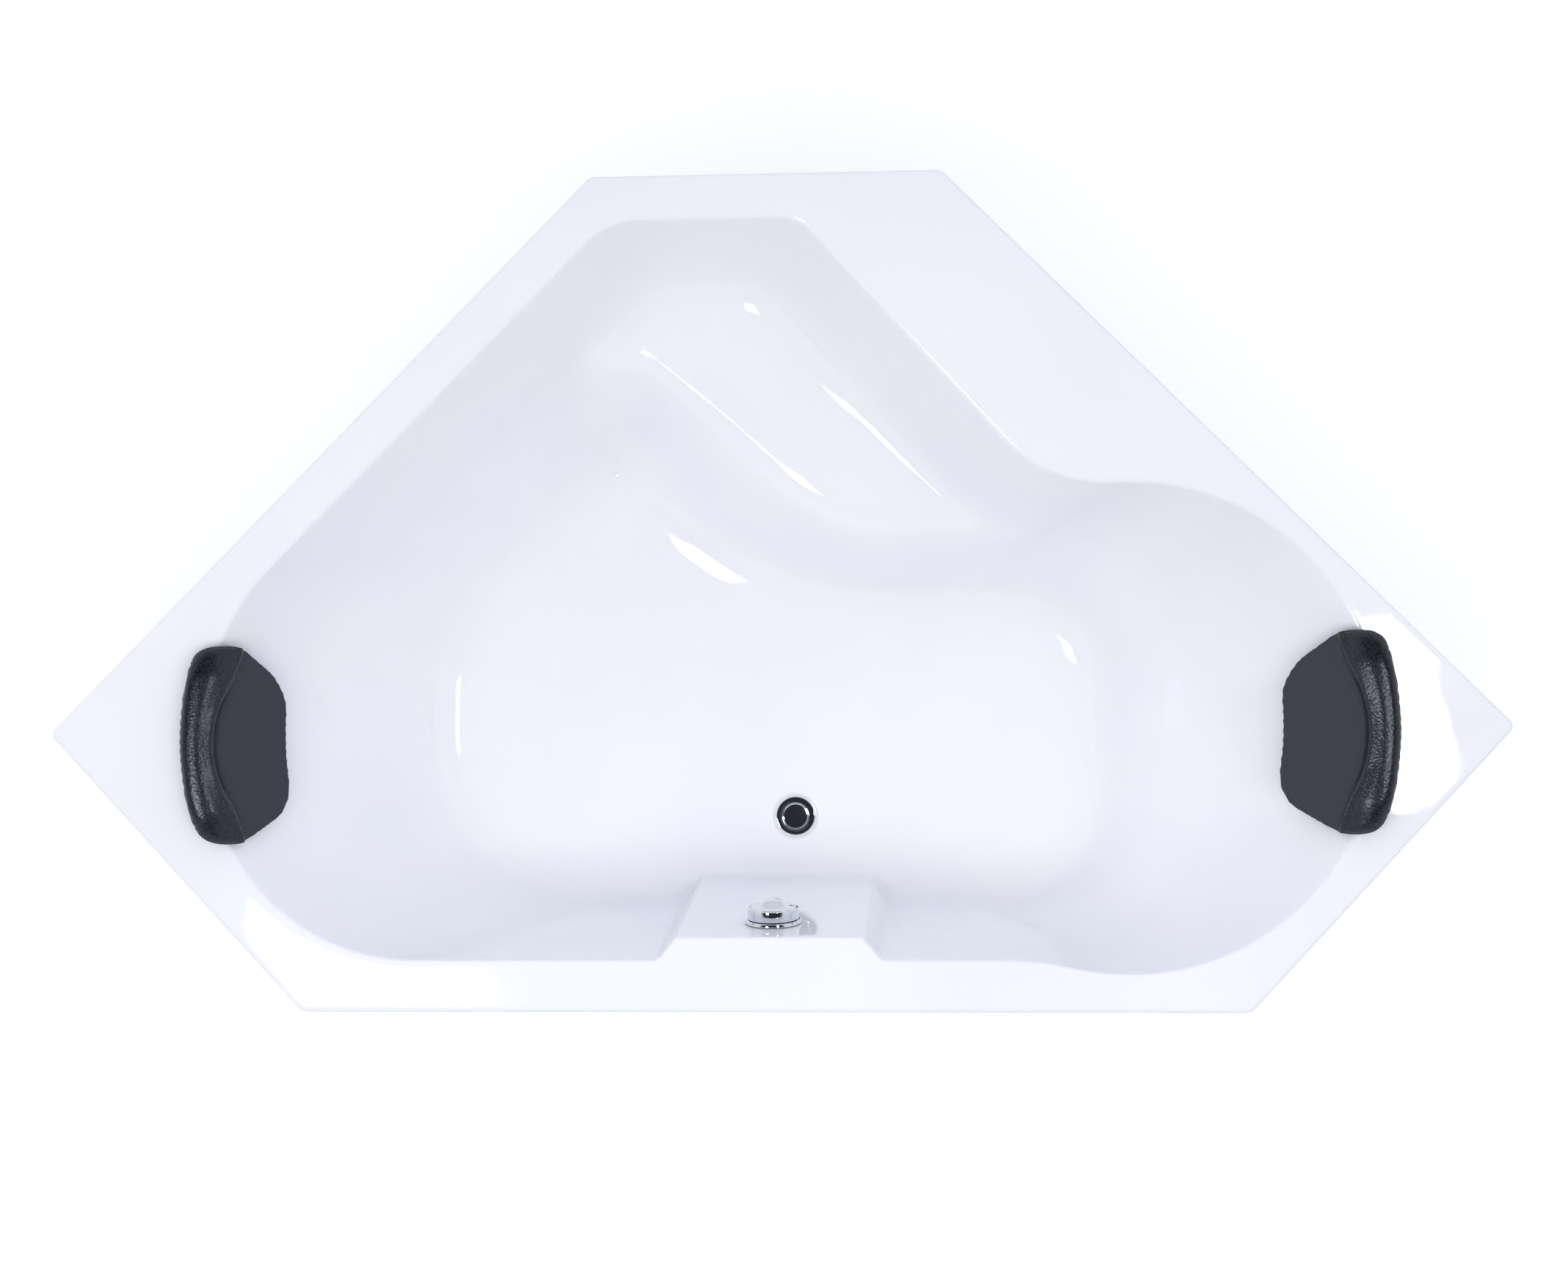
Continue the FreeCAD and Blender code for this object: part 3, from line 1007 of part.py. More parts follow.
def headrest(end, sign, middle_y, pad):
    """A headrest and its two cups; sign is the direction in X from the end towards the basin."""
    line_x = basin_side(end, 0)[0].x
    run = number(end + "_at_seat")
    drop = number("seat_depth - basin_edge_round")
    recline = math.atan2(run, drop)
    down = Vector(sign * math.sin(recline), 0, -math.cos(recline))
    outwards = Vector(sign * math.cos(recline), 0, math.sin(recline))
    root = Vector(line_x, middle_y, rim_z - number("basin_edge_round"))
    half = number("headrest_length / 2")
    over = number("headrest_over_rim")
    ridge = number("headrest_bolster")
    thick = number("headrest_thick")

    def over_rim_point(inwards, height):
        return Vector(line_x + sign * inwards, middle_y, rim_z + height)

    def pad_point(along, lift):
        return root + down * along + outwards * lift

    profile = [
        over_rim_point(-over, 0), over_rim_point(-over, ridge * 0.3),
        over_rim_point(-over * 0.8, ridge * 0.68), over_rim_point(-over * 0.45, ridge * 0.93),
        over_rim_point(0, ridge), over_rim_point(over * 0.45, ridge * 0.9),
        over_rim_point(over * 0.75, ridge * 0.62), pad_point(12, thick * 0.92), pad_point(40, thick * 0.78),
        pad_point(75, thick * 0.88), pad_point(110, thick), pad_point(pad - 12, thick),
        pad_point(pad - 3, thick * 0.8), pad_point(pad, thick * 0.5), pad_point(pad, -20), pad_point(0, -40)]
    side = Part.Face(Part.makePolygon([corner - Vector(0, half + 10, 0) for corner in profile + profile[:1]]))
    blank = side.extrude(Vector(0, 2 * half + 20, 0))
    reach = profile[11].x - line_x
    low_z = Vector(line_x, middle_y, rim_z - 200)

    def plan_point(inwards, sideways):
        return low_z + Vector(sign * inwards, sideways, 0)

    inner = abs(reach) + 9
    corner_cut = 34
    outline = Part.Wire([
        Part.Arc(plan_point(10, -half), plan_point(-over, 0), plan_point(10, half)).toShape(),
        Part.makeLine(plan_point(10, half), plan_point(inner - corner_cut, half * 0.79)),
        Part.Arc(plan_point(inner - corner_cut, half * 0.79), plan_point(inner - 9, half * 0.66),
                 plan_point(inner, half * 0.48)).toShape(),
        Part.makeLine(plan_point(inner, half * 0.48), plan_point(inner, -half * 0.48)),
        Part.Arc(plan_point(inner, -half * 0.48), plan_point(inner - 9, -half * 0.66),
                 plan_point(inner - corner_cut, -half * 0.79)).toShape(),
        Part.makeLine(plan_point(inner - corner_cut, -half * 0.79), plan_point(10, -half))])
    shape = blank.common(prism(outline, 400)).common(allowed)
    cup_radius = number("cup_radius")
    cup_height = number("cup_height")
    cups = []
    for sideways in (-0.5, 0.5):
        base = root + down * number("cup_drop") + Vector(0, sideways * number("cup_spread"), 0)
        pocket = Part.makeCylinder(cup_radius + 1, cup_height + 13, base - outwards * 12, outwards)
        shape = shape.cut(pocket)
        bell = Part.makeCone(cup_radius, 5, cup_height, base, outwards)
        skirt = Part.makeCylinder(cup_radius, 4, base - outwards * 4, outwards)
        hollow = Part.makeCone(cup_radius - 2, 3, cup_height - 4, base, outwards)
        cups.append(bell.fuse(skirt).cut(hollow).common(pad_room))
    return shape, Part.makeCompound(cups)


for side_name, sign in (("left", 1), ("right", -1)):
    pillow, cups = headrest(side_name + "_end", sign, tips_y + number("headrest_" + side_name + "_y"),
                            number("headrest_pad_" + side_name))
    piece(solid("Headrest_" + side_name, pillow), "headrest_" + side_name)
    piece(solid("Cups_" + side_name, cups), "suction_cups_" + side_name)

# ---------------------------------------------------------------- checks and export
doc.recompute()
os.makedirs("parts", exist_ok=True)
problems = [made.Label for made in doc.Objects if "Invalid" in made.State or "Error" in made.State]
problems += [made.Label for made in PIECES if made.Shape.isNull() or not made.Shape.isValid()]
if problems:
    raise RuntimeError("not sound: " + ", ".join(problems))
for made in PIECES:
    made.Shape.exportStep("parts/" + made.Label + ".step")
print("pieces", len(PIECES))
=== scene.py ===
# Corner bathtub: an acrylic tub with its carriers, waste and headrests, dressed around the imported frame.
# Lengths are written in millimetres and turned to metres where a mesh is made.
import json
import math

import bmesh
import bpy
import numpy as np
from mathutils import Matrix, Vector, noise
from mathutils.bvhtree import BVHTree
from mathutils.geometry import delaunay_2d_cdt


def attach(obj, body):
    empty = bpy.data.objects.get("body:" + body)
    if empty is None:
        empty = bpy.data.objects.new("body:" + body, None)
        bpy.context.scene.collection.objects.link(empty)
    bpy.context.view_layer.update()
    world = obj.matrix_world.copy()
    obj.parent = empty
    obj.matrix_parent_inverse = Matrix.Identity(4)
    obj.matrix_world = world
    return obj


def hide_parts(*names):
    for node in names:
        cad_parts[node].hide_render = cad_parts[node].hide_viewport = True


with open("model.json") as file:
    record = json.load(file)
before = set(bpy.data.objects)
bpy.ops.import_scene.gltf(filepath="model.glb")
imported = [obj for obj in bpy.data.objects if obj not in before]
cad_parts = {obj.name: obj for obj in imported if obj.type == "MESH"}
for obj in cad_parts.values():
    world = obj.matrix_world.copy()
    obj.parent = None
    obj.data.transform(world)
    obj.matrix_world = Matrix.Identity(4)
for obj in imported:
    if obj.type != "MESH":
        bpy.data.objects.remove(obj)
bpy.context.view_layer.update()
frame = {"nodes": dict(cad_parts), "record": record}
nodes = frame["nodes"]
slot_of = {part["node"]: part["material_slot"] for part in frame["record"]["subparts"]}
scene = bpy.context.scene
MM = 0.001

# ---------------------------------------- camera
# It hangs over the tub a little to the right of the middle, nearly straight down, as the photograph
# was taken; the lens is fitted to the rim's corners.
camera_data = bpy.data.cameras.new("camera")
camera_data.sensor_width = 36
camera_data.lens = 55.85
camera_data.clip_end = 100
camera = bpy.data.objects.new("camera", camera_data)
scene.collection.objects.link(camera)
to_camera = (Matrix.Rotation(0.00847, 3, "Z") @ Matrix.Rotation(-0.06515, 3, "Y")
             @ Matrix.Rotation(-0.01259, 3, "X"))
camera.matrix_world = Matrix.Translation((0.25181, -0.10927, 4.080)) @ to_camera.transposed().to_4x4()
scene.camera = camera

# ---------------------------------------- floor
# A white seamless floor. The camera and mirrors see it lit to white, with the tub's soft shadow left.
WHITE = "#FFFFFF"


def linear(hex_colour):
    """An sRGB hex colour as linear RGBA."""
    channels = [int(hex_colour[i:i + 2], 16) / 255 for i in (1, 3, 5)]
    return [c / 12.92 if c <= 0.04045 else ((c + 0.055) / 1.055) ** 2.4 for c in channels] + [1.0]


def add_node(tree, kind, **values):
    """A node. A name in small letters is a setting of it. Any other is an input, by its label or as _0, _1
    and so on, and takes a value, a socket to link from, or a node whose first output is linked."""
    node = tree.nodes.new(kind)
    for name, value in values.items():
        if name.islower():
            setattr(node, name, value)
            continue
        socket = node.inputs[int(name[1:])] if name[1:].isdigit() else node.inputs[name.replace("_", " ")]
        if isinstance(value, bpy.types.Node):
            value = value.outputs[0]
        if isinstance(value, bpy.types.NodeSocket):
            tree.links.new(value, socket)
        else:
            socket.default_value = value
    return node


def new_material(name):
    """An empty node material and its tree."""
    material = bpy.data.materials.new(name)
    material.use_nodes = True
    material.node_tree.nodes.clear()
    return material, material.node_tree


def mesh_object(name, points, faces, smooth=True):
    """A mesh object at the origin; points are in millimetres."""
    mesh = bpy.data.meshes.new(name)
    mesh.from_pydata([Vector(point) * MM for point in points], [], [list(face) for face in faces])
    mesh.validate()
    for polygon in mesh.polygons:
        polygon.use_smooth = smooth
    made = bpy.data.objects.new(name, mesh)
    scene.collection.objects.link(made)
    return made


floor = mesh_object("floor", [(-9000, -9000, 0), (9000, -9000, 0), (9000, 9000, 0), (-9000, 9000, 0)],
                    [(0, 1, 2, 3)], smooth=False)
material, tree = new_material("white seamless floor")
paths = add_node(tree, "ShaderNodeLightPath")
seen = add_node(tree, "ShaderNodeMath", operation="MAXIMUM", _0=paths.outputs["Is Camera Ray"],
                _1=paths.outputs["Is Glossy Ray"])
seen = add_node(tree, "ShaderNodeMath", operation="MAXIMUM", _0=seen,
                _1=paths.outputs["Is Transmission Ray"])
plain = add_node(tree, "ShaderNodeBsdfDiffuse", Color=linear("#E6E8EE"))
dimmed = add_node(tree, "ShaderNodeBsdfDiffuse", Color=linear("#A0A2A8"))
glow = add_node(tree, "ShaderNodeEmission", Color=linear(WHITE), Strength=0.74)
shown = add_node(tree, "ShaderNodeAddShader", _0=dimmed, _1=glow)
mixed = add_node(tree, "ShaderNodeMixShader", _0=seen, _1=plain, _2=shown)
add_node(tree, "ShaderNodeOutputMaterial", Surface=mixed)
floor.data.materials.append(material)

# ---------------------------------------- light
# A pale room, lighter at the back, a broad lamp overhead, and two softboxes whose reflections lie on the
# rim's ends.
def set_stops(ramp, *stops):
    """Gives a ramp its stops, each a position and an sRGB hex colour."""
    for element, (position, colour) in zip(ramp.color_ramp.elements, stops):
        element.position, element.color = position, linear(colour)


scene.view_settings.view_transform = "Standard"
world = bpy.data.worlds.new("pale room")
world.use_nodes = True
world.node_tree.nodes.clear()
scene.world = world
tree = world.node_tree
paths = add_node(tree, "ShaderNodeLightPath")
place = add_node(tree, "ShaderNodeTexCoord")
upness = add_node(tree, "ShaderNodeSeparateXYZ", _0=place.outputs["Generated"])
ceiling = add_node(tree, "ShaderNodeValToRGB", Fac=upness.outputs["Z"])
set_stops(ceiling, (0.60, "#E8ECF5"), (0.75, "#2E3036"))
paler = add_node(tree, "ShaderNodeMapRange", Value=upness.outputs["Y"], _1=-1.0, _2=1.0, _3=0.44, _4=0.98)
room = add_node(tree, "ShaderNodeBackground", Color=linear("#E9EDF8"), Strength=paler)
mirror_room = add_node(tree, "ShaderNodeBackground", Color=ceiling, Strength=1.0)
white_room = add_node(tree, "ShaderNodeBackground", Color=linear(WHITE), Strength=1.0)
glossy = add_node(tree, "ShaderNodeMixShader", _0=paths.outputs["Is Glossy Ray"], _1=room, _2=mirror_room)
final = add_node(tree, "ShaderNodeMixShader", _0=paths.outputs["Is Camera Ray"], _1=glossy, _2=white_room)
add_node(tree, "ShaderNodeOutputWorld", Surface=final)


def lamp(name, place, aim, width, height, watts, mirrored, colour=WHITE):
    """A rectangular lamp that points at a place; a mirrored one only shows in shiny surfaces."""
    data = bpy.data.lights.new(name, "AREA")
    data.shape = "RECTANGLE"
    data.size, data.size_y = width, height
    data.energy = watts
    data.color = linear(colour)[:3]
    made = bpy.data.objects.new(name, data)
    made.location = place
    made.rotation_euler = (Vector(aim) - Vector(place)).to_track_quat("-Z", "Y").to_euler()
    made.visible_glossy = mirrored
    made.visible_diffuse = not mirrored
    made.visible_camera = False
    scene.collection.objects.link(made)


lamp("overhead lamp", (-0.1, -0.85, 3.8), (-0.1, -0.3, 0.3), 4.2, 1.6, 68, False, "#FFFBF3")
lamp("right softbox", (1.47, -0.27, 4.1), (1.40, 0.2, 0.5), 0.4, 0.5, 30, True, "#E6ECFF")
lamp("left softbox", (-1.45, -1.08, 4.1), (-1.45, -0.6, 0.5), 0.66, 0.6, 64, True, "#E6ECFF")

# ---------------------------------------- tub shell
# One sheet of white acrylic, 5 mm thick, vacuum formed over a mould: a flat six-sided rim with its lip
# turned down, and the basin with two reclining ends, a corner seat and the overflow panel.
# Each wall is a column of points from the rim to the floor, softened where the sheet bends.
RIM_Z = 580
TIPS_Y = -199.33
TIP_X = 1060.66
FRONT_Y = -606.33
BACK_Y = 606.33
FRONT_CORNER_X = 686
BASIN_DEPTH = 430
DEPTHS = {"rim": 0, "seat": 225, "knee": 330, "toe": 405, "floor": BASIN_DEPTH}
PANEL_X, PANEL_HALF, PANEL_TURN, PANEL_TOP_Y = -2, 136, math.degrees(math.atan2(33, 27)), -497.33
PANEL_ANGLE = math.radians(6.84)
PANEL_SLOPE = math.tan(PANEL_ANGLE)
RIM_BEND = 8
RIM_RUN = 18
SHEET = 5
# Each side of the basin: a point at the rim, the direction of travel, and how far it has moved
# inwards at the seat, knee, toe and floor.
SIDES = {
    "right_end": (859.66, TIPS_Y, 90, (205, 304, 350, 384)),
    "shoulder": (0, 150.17, 180, (57, 97, 128, 146)),
    "bay_right": (45, 540.33, 132.2, (88, 88, 88, 88)),
    "bay_top": (0, 540.33, 180, (50, 50, 50, 50)),
    "left_wall": (-968.03, TIPS_Y, 225, (64, 112, 160, 189)),
    "left_end": (-819.66, TIPS_Y, 270, (130, 190, 245, 285)),
    "front": (0, -530.33, 0, (24, 34, 44, 60)),
    "bulge": (384, -530.33, -12, None),
    "seat_edge": (66, 112.67, 138.1, (0, 66, 112, 150)),
    "alcove": (0, 362.67, 180, (0, 70, 118, 149)),
    "bevel_left": (PANEL_X - PANEL_HALF, PANEL_TOP_Y, PANEL_TURN, None),
    "face": (PANEL_X, PANEL_TOP_Y, 0, None),
    "bevel_right": (PANEL_X + PANEL_HALF, PANEL_TOP_Y, -PANEL_TURN, None),
}
# The bulge of the front wall starts further left and turns less at each level down to the floor.
BULGE = {"rim": (384, -12), "seat": (372, -9.5), "knee": (330, -6), "toe": (280, -3), "floor": (240, -1.5)}
# The rounding after each side, in plan, at the rim (or seat) and at the floor.
ROUNDINGS = {
    "right_shoulder": (340, 150), "bay_elbow": (200, 140), "bay_right_corner": (60, 40),
    "bay_left_corner": (110, 20), "left_upper": (300, 320), "left_lower": (300, 260),
    "root_left": (14, 14), "face_left": (7, 7), "face_right": (7, 7), "root_right": (14, 14),
    "bulge_start": (400, 300), "right_lower": (345, 160),
    "seat_elbow": (25, 400), "alcove_right": (70, 40), "alcove_left": (30, 40),
}
# Columns of points on each run: a side's name, or the rounding after it, and how many.
START_RUNS = [("right_end", 12), ("right_shoulder", 44), ("shoulder", 8)]
BAY_RUNS = [("bay_elbow", 16), ("bay_right", 40), ("bay_right_corner", 10), ("bay_top", 12),
            ("bay_left_corner", 8), ("left_wall", 15)]
SEAT_RUNS = [("shoulder", 36), ("seat_elbow", 6), ("seat_edge", 40), ("alcove_right", 8), ("alcove", 5),
             ("alcove_left", 6)]
END_RUNS = [("left_wall", 24), ("left_upper", 24), ("left_end", 4), ("left_lower", 40), ("front", 20),
            ("root_left", 4), ("bevel_left", 6), ("face_left", 4), ("face", 24), ("face_right", 4),
            ("bevel_right", 6), ("root_right", 4), ("front", 14), ("bulge_start", 6), ("bulge", 5),
            ("right_lower", 48)]
# The walls of the bay stand on the seat; the walls below it run on past the seat's edge.
UPPER = START_RUNS + BAY_RUNS + END_RUNS
LOWER = START_RUNS + SEAT_RUNS + END_RUNS


def heading(travel):
    """The direction of travel as a vector; 0 degrees is +X."""
    return np.array((math.cos(math.radians(travel)), math.sin(math.radians(travel))))


def basin_runs(plan, level, grow=0.0):
    """Each side and rounding of the basin's outline at a level: name, start, end or centre, and angle."""
    names = [name for name, _ in plan]
    chain = [name for name, before in zip(names, [""] + names) if name != before]
    depth = DEPTHS[level]
    share = depth / BASIN_DEPTH
    sides, turns = chain[0::2], chain[1::2]
    lines = []
    for side in sides:
        x, y, travel, insets = SIDES[side]
        inset = 0 if insets is None or level == "rim" else insets[list(DEPTHS).index(level) - 1]
        if side == "bulge":
            x, travel = BULGE[level]
            y += dict(zip(DEPTHS, (0,) + SIDES["front"][3]))[level]
        elif insets is None:
            y += depth * PANEL_SLOPE
        ahead = heading(travel)
        start = np.array((x, y), float)
        lines.append((start + np.array((-ahead[1], ahead[0])) * (inset - grow), travel))
    count = len(sides)
    corners, angles, trims = [], [], []
    for i in range(count):
        (point, travel), (other, onward) = lines[i], lines[(i + 1) % count]
        ahead, next_ahead = heading(travel), heading(onward)
        turn = (onward - travel + 180) % 360 - 180
        cross = ahead[0] * next_ahead[1] - ahead[1] * next_ahead[0]
        span = other - point
        corners.append(point + ahead * ((span[0] * next_ahead[1] - span[1] * next_ahead[0]) / cross))
        upper, lower = ROUNDINGS[turns[i]]
        radius = (1 - share) * upper + share * lower + (grow if turn > 0 else -grow)
        angles.append(math.radians(turn))
        trims.append(max(radius, 1.0) * math.tan(abs(math.radians(turn)) / 2))
    for i in range(count):
        room = 0.98 * np.linalg.norm(corners[i] - corners[i - 1])
        wanted = trims[i] + trims[i - 1]
        if wanted > room:
            trims[i], trims[i - 1] = trims[i] * room / wanted, trims[i - 1] * room / wanted
    runs = []
    for i in range(count):
        ahead = heading(lines[i][1])
        first, last = corners[i - 1] + ahead * trims[i - 1], corners[i] - ahead * trims[i]
        runs.append((sides[i], first, last, None))
        radius = trims[i] / math.tan(abs(angles[i]) / 2)
        centre = last + np.array((-ahead[1], ahead[0])) * math.copysign(radius, angles[i])
        runs.append((turns[i], last, centre, angles[i]))
    return runs


def along(run, share):
    """A point of a run, at a share of its length."""
    _, first, other, angle = run
    if angle is None:
        return first + (other - first) * share
    turn = angle * share
    arm = first - other
    return other + np.array((arm[0] * math.cos(turn) - arm[1] * math.sin(turn),
                             arm[0] * math.sin(turn) + arm[1] * math.cos(turn)))


def sample(runs, plan, splits):
    """Points along the runs in the plan's order; splits says which part of a side a run takes."""
    points, place = [], 0
    for index, (name, count) in enumerate(plan):
        while runs[place % len(runs)][0] != name:
            place += 1
        low, high = splits.get(index, (0.0, 1.0))
        for step in range(count):
            points.append(along(runs[place % len(runs)], low + (high - low) * step / count))
        if high == 1.0:
            place += 1
    return np.array(points)


# The bay's elbow starts at one point of the shoulder, and the alcove ends at one point of the left wall.
upper_seat = basin_runs(UPPER, "seat")
lower_seat = basin_runs(LOWER, "seat")
elbow_start = upper_seat[3][1]
shoulder = lower_seat[2]
elbow_share = float(np.linalg.norm(elbow_start - shoulder[1]) / np.linalg.norm(shoulder[2] - shoulder[1]))
alcove_end = along(lower_seat[7], 1.0)
left_wall = upper_seat[8]
alcove_share = float(np.linalg.norm(alcove_end - left_wall[1]) / np.linalg.norm(left_wall[2] - left_wall[1]))
upper_splits = {8: (0.0, alcove_share), 9: (alcove_share, 1.0)}
lower_splits = {2: (0.0, elbow_share), 3: (elbow_share, 1.0)}


def upper_ring(level, depth, grow=0.0):
    """Points round the basin at a level, along the walls of the bay; grow moves them outwards."""
    flat = sample(basin_runs(UPPER, level, grow), UPPER, upper_splits)
    return np.column_stack((flat, np.full(len(flat), float(RIM_Z - depth))))


def lower_ring(level):
    """Points round the basin at a level, along the wall below the seat."""
    flat = sample(basin_runs(LOWER, level), LOWER, lower_splits)
    return np.column_stack((flat, np.full(len(flat), float(RIM_Z - DEPTHS[level]))))


# How far in the floor's own flat starts, less at the runs that are tight, and how fast that eases off
# along the outline.
FLOOR_RUN, FLOOR_EASING = 62.0, 0.45
TIGHT = {"alcove_right": 10, "alcove": 8, "alcove_left": 10, "root_left": 9, "root_right": 9, "face": 34,
         "bevel_left": 12, "bevel_right": 12}


def level_lines():
    """The rings of points where the sheet bends, from the rim down to the floor's own flat."""
    seat_top = upper_ring("seat", DEPTHS["seat"])
    rim = upper_ring("rim", RIM_BEND)
    top = rim + (rim - seat_top) * (RIM_BEND / (DEPTHS["seat"] - RIM_BEND))
    seat_foot, knee, toe, base = (lower_ring(level) for level in ("seat", "knee", "toe", "floor"))
    edge = upper_ring("rim", 0, RIM_RUN)
    ahead = np.roll(base, -1, 0) - np.roll(base, 1, 0)
    inward = np.column_stack((-ahead[:, 1], ahead[:, 0], np.zeros(len(ahead))))
    inward /= np.linalg.norm(inward, axis=1)[:, None]
    # The flat never starts so far in that a tight corner folds over itself.
    travelled = np.concatenate(((0,), np.cumsum(np.linalg.norm(np.diff(base, axis=0), axis=1))))
    reach = np.full(len(base), FLOOR_RUN)
    start = 0
    for name, count in LOWER:
        if name in TIGHT:
            for place in travelled[start:start + count + 1]:
                reach = np.minimum(reach, TIGHT[name] + FLOOR_EASING * np.abs(travelled - place))
        start += count
    return [edge, top, seat_top, seat_foot, knee, toe, base, base + inward * reach[:, None]]


# Where the seat is narrower than the first, its two lines part, by the second at most.
SEAT_FADE, SEAT_PARTING = 90, 30


def softened(lines, trims, bends, runs):
    """A grid of points: straight runs between the lines, and a curve of the given trim at each."""
    lines = [line.copy() for line in lines]
    # Where no seat lies between wall and wall, the two seat lines part along the walls instead.
    gap = np.linalg.norm(lines[3] - lines[2], axis=1)
    part = np.clip(1 - gap / SEAT_FADE, 0, 1)[:, None] * SEAT_PARTING
    up = lines[1] - lines[2]
    down = lines[4] - lines[3]
    lines[2] += up / np.linalg.norm(up, axis=1)[:, None] * part
    lines[3] += down / np.linalg.norm(down, axis=1)[:, None] * part
    lengths = [np.linalg.norm(b - a, axis=1) for a, b in zip(lines, lines[1:])]
    ahead = [(b - a) / np.maximum(length, 1e-6)[:, None] for a, b, length in zip(lines, lines[1:], lengths)]
    rows = [lines[0]]
    last = lines[0]
    for k in range(1, len(lines) - 1):
        trim = np.minimum(trims[k - 1], 0.47 * np.minimum(lengths[k - 1], lengths[k]))[:, None]
        first, third = lines[k] - ahead[k - 1] * trim, lines[k] + ahead[k] * trim
        for step in range(1, runs[k - 1] + 1):
            rows.append(last + (first - last) * step / runs[k - 1])
        for step in range(1, bends[k - 1] + 1):
            t = step / bends[k - 1]
            rows.append(first * (1 - t) ** 2 + lines[k] * 2 * t * (1 - t) + third * t * t)
        last = third
    rows.append((last + lines[-1]) / 2)
    rows.append(lines[-1])
    return np.array(rows)


def relaxed(rows, start, rounds):
    """The grid with its creases eased below a row, as a hot sheet settles; the ends stay put."""
    rows = rows.copy()
    weight = np.zeros(len(rows))
    weight[start:-2] = np.minimum(1, np.arange(len(rows) - 2 - start) / 6)
    weight = weight[:, None, None] * 0.5
    for turn in range(rounds):
        middle = np.zeros_like(rows)
        middle[1:-1] = (rows[:-2] + rows[2:]) / 2
        if turn % 4 == 0:
            middle[1:-1] = (middle[1:-1] + (np.roll(rows, 1, 1)[1:-1] + np.roll(rows, -1, 1)[1:-1]) / 2) / 2
        rows += (middle - rows) * weight
    return rows


def rim_ring(inwards, depth, steps):
    """The rim's outline some way inwards: steps points on each rounded corner, none on the straight sides."""
    corners = [(TIP_X, TIPS_Y, 12), (255, BACK_Y, 20), (-255, BACK_Y, 20), (-TIP_X, TIPS_Y, 12),
               (-FRONT_CORNER_X, FRONT_Y, 20), (FRONT_CORNER_X, FRONT_Y, 20)]
    points = []
    for i, (x, y, radius) in enumerate(corners):
        here = np.array((x, y))
        before, after = np.array(corners[i - 1][:2]), np.array(corners[(i + 1) % 6][:2])
        back = (before - here) / np.linalg.norm(before - here)
        ahead = (after - here) / np.linalg.norm(after - here)
        half = math.acos(float(back @ ahead)) / 2
        middle = (back + ahead) / np.linalg.norm(back + ahead)
        centre = here + middle * (radius / math.sin(half))
        low = math.atan2(*(-middle)[::-1]) - (math.pi / 2 - half)
        for step in range(steps):
            angle = low + 2 * (math.pi / 2 - half) * step / (steps - 1)
            points.append(centre + np.array((math.cos(angle), math.sin(angle))) * (radius - inwards))
    return np.column_stack((np.array(points), np.full(len(points), float(RIM_Z - depth))))


def strips(rows, start, outwards=False):
    """Faces of a closed grid of rows, numbered from start."""
    faces = []
    count = len(rows[0])
    for k in range(len(rows) - 1):
        for i in range(count):
            a, b = start + k * count + i, start + k * count + (i + 1) % count
            c, d = b + count, a + count
            faces.append((a, d, c, b) if outwards else (a, b, c, d))
    return faces


def encloses(loop, place):
    """Whether a loop goes round a place."""
    inside = False
    for p, q in zip(loop, np.roll(loop, -1, 0)):
        if (p[1] > place.y) != (q[1] > place.y):
            if place.x < p[0] + (q[0] - p[0]) * (place.y - p[1]) / (q[1] - p[1]):
                inside = not inside
    return inside


def flat_fill(outer, inner, z, start):
    """Points and triangles of a flat area between an outer loop and inner loops."""
    loops = [outer] + inner
    flat, edges = [], []
    for loop in loops:
        base = len(flat)
        flat += [Vector((p[0], p[1])) for p in loop]
        edges += [(base + i, base + (i + 1) % len(loop)) for i in range(len(loop))]
    made, _, faces, _, _, _ = delaunay_2d_cdt(flat, edges, [], 1, 1e-5)
    turned = []
    for face in faces:
        a, b, c = (made[i] for i in face[:3])
        if any(encloses(hole, (a + b + c) / 3) for hole in inner):
            continue
        area = (b - a).cross(c - a)
        turned.append(tuple(start + i for i in (face if area > 0 else reversed(face))))
    return [(p.x, p.y, z) for p in made], turned


DRAIN = (12.0, -349.33)
# The shallow dip that the drain's flange lies in, and the lip turned down at the rim, as the sheet goes:
# a radius, or a distance in from the rim's outline, and a depth.
DIP = ((42, 0), (38.5, 0), (37, 0.6), (36, 2), (34.5, 3.6), (33, 4), (22, 4))
LIP = ((10, 0), (6, 0), (3.6, 0.5), (1.7, 1.7), (0.5, 3.6), (0, 6), (0, 20), (0, 40))


def circle(radius, z):
    """Points round the drain."""
    turns = [2 * math.pi * i / 64 for i in range(64)]
    return np.array([(DRAIN[0] + radius * math.cos(turn), DRAIN[1] + radius * math.sin(turn), z)
                     for turn in turns])


def basin_rows(coarse):
    """The rows of points of the basin's walls, from the rim to the edge of the floor."""
    trims = (12, 30, 20, 30, 40, 50)
    bends = (3, 3, 3, 2, 2, 2) if coarse else (7, 6, 6, 5, 5, 5)
    runs = (1, 4, 3, 2, 2, 1) if coarse else (1, 10, 8, 5, 4, 2)
    rows = softened(level_lines(), trims, bends, runs)
    return relaxed(rows, 1 + runs[0] + bends[0], 6 if coarse else 36)


def drained_floor(edge, start):
    """Points and faces of the flat floor inside its edge, with the shallow dip round the drain."""
    drain_top = RIM_Z - BASIN_DEPTH
    dip = [circle(radius, drain_top - depth) for radius, depth in DIP]
    points = [tuple(p) for row in dip for p in row]
    made, filled = flat_fill(edge, [dip[0]], drain_top, start + len(points))
    return points + made, strips(dip, start) + filled


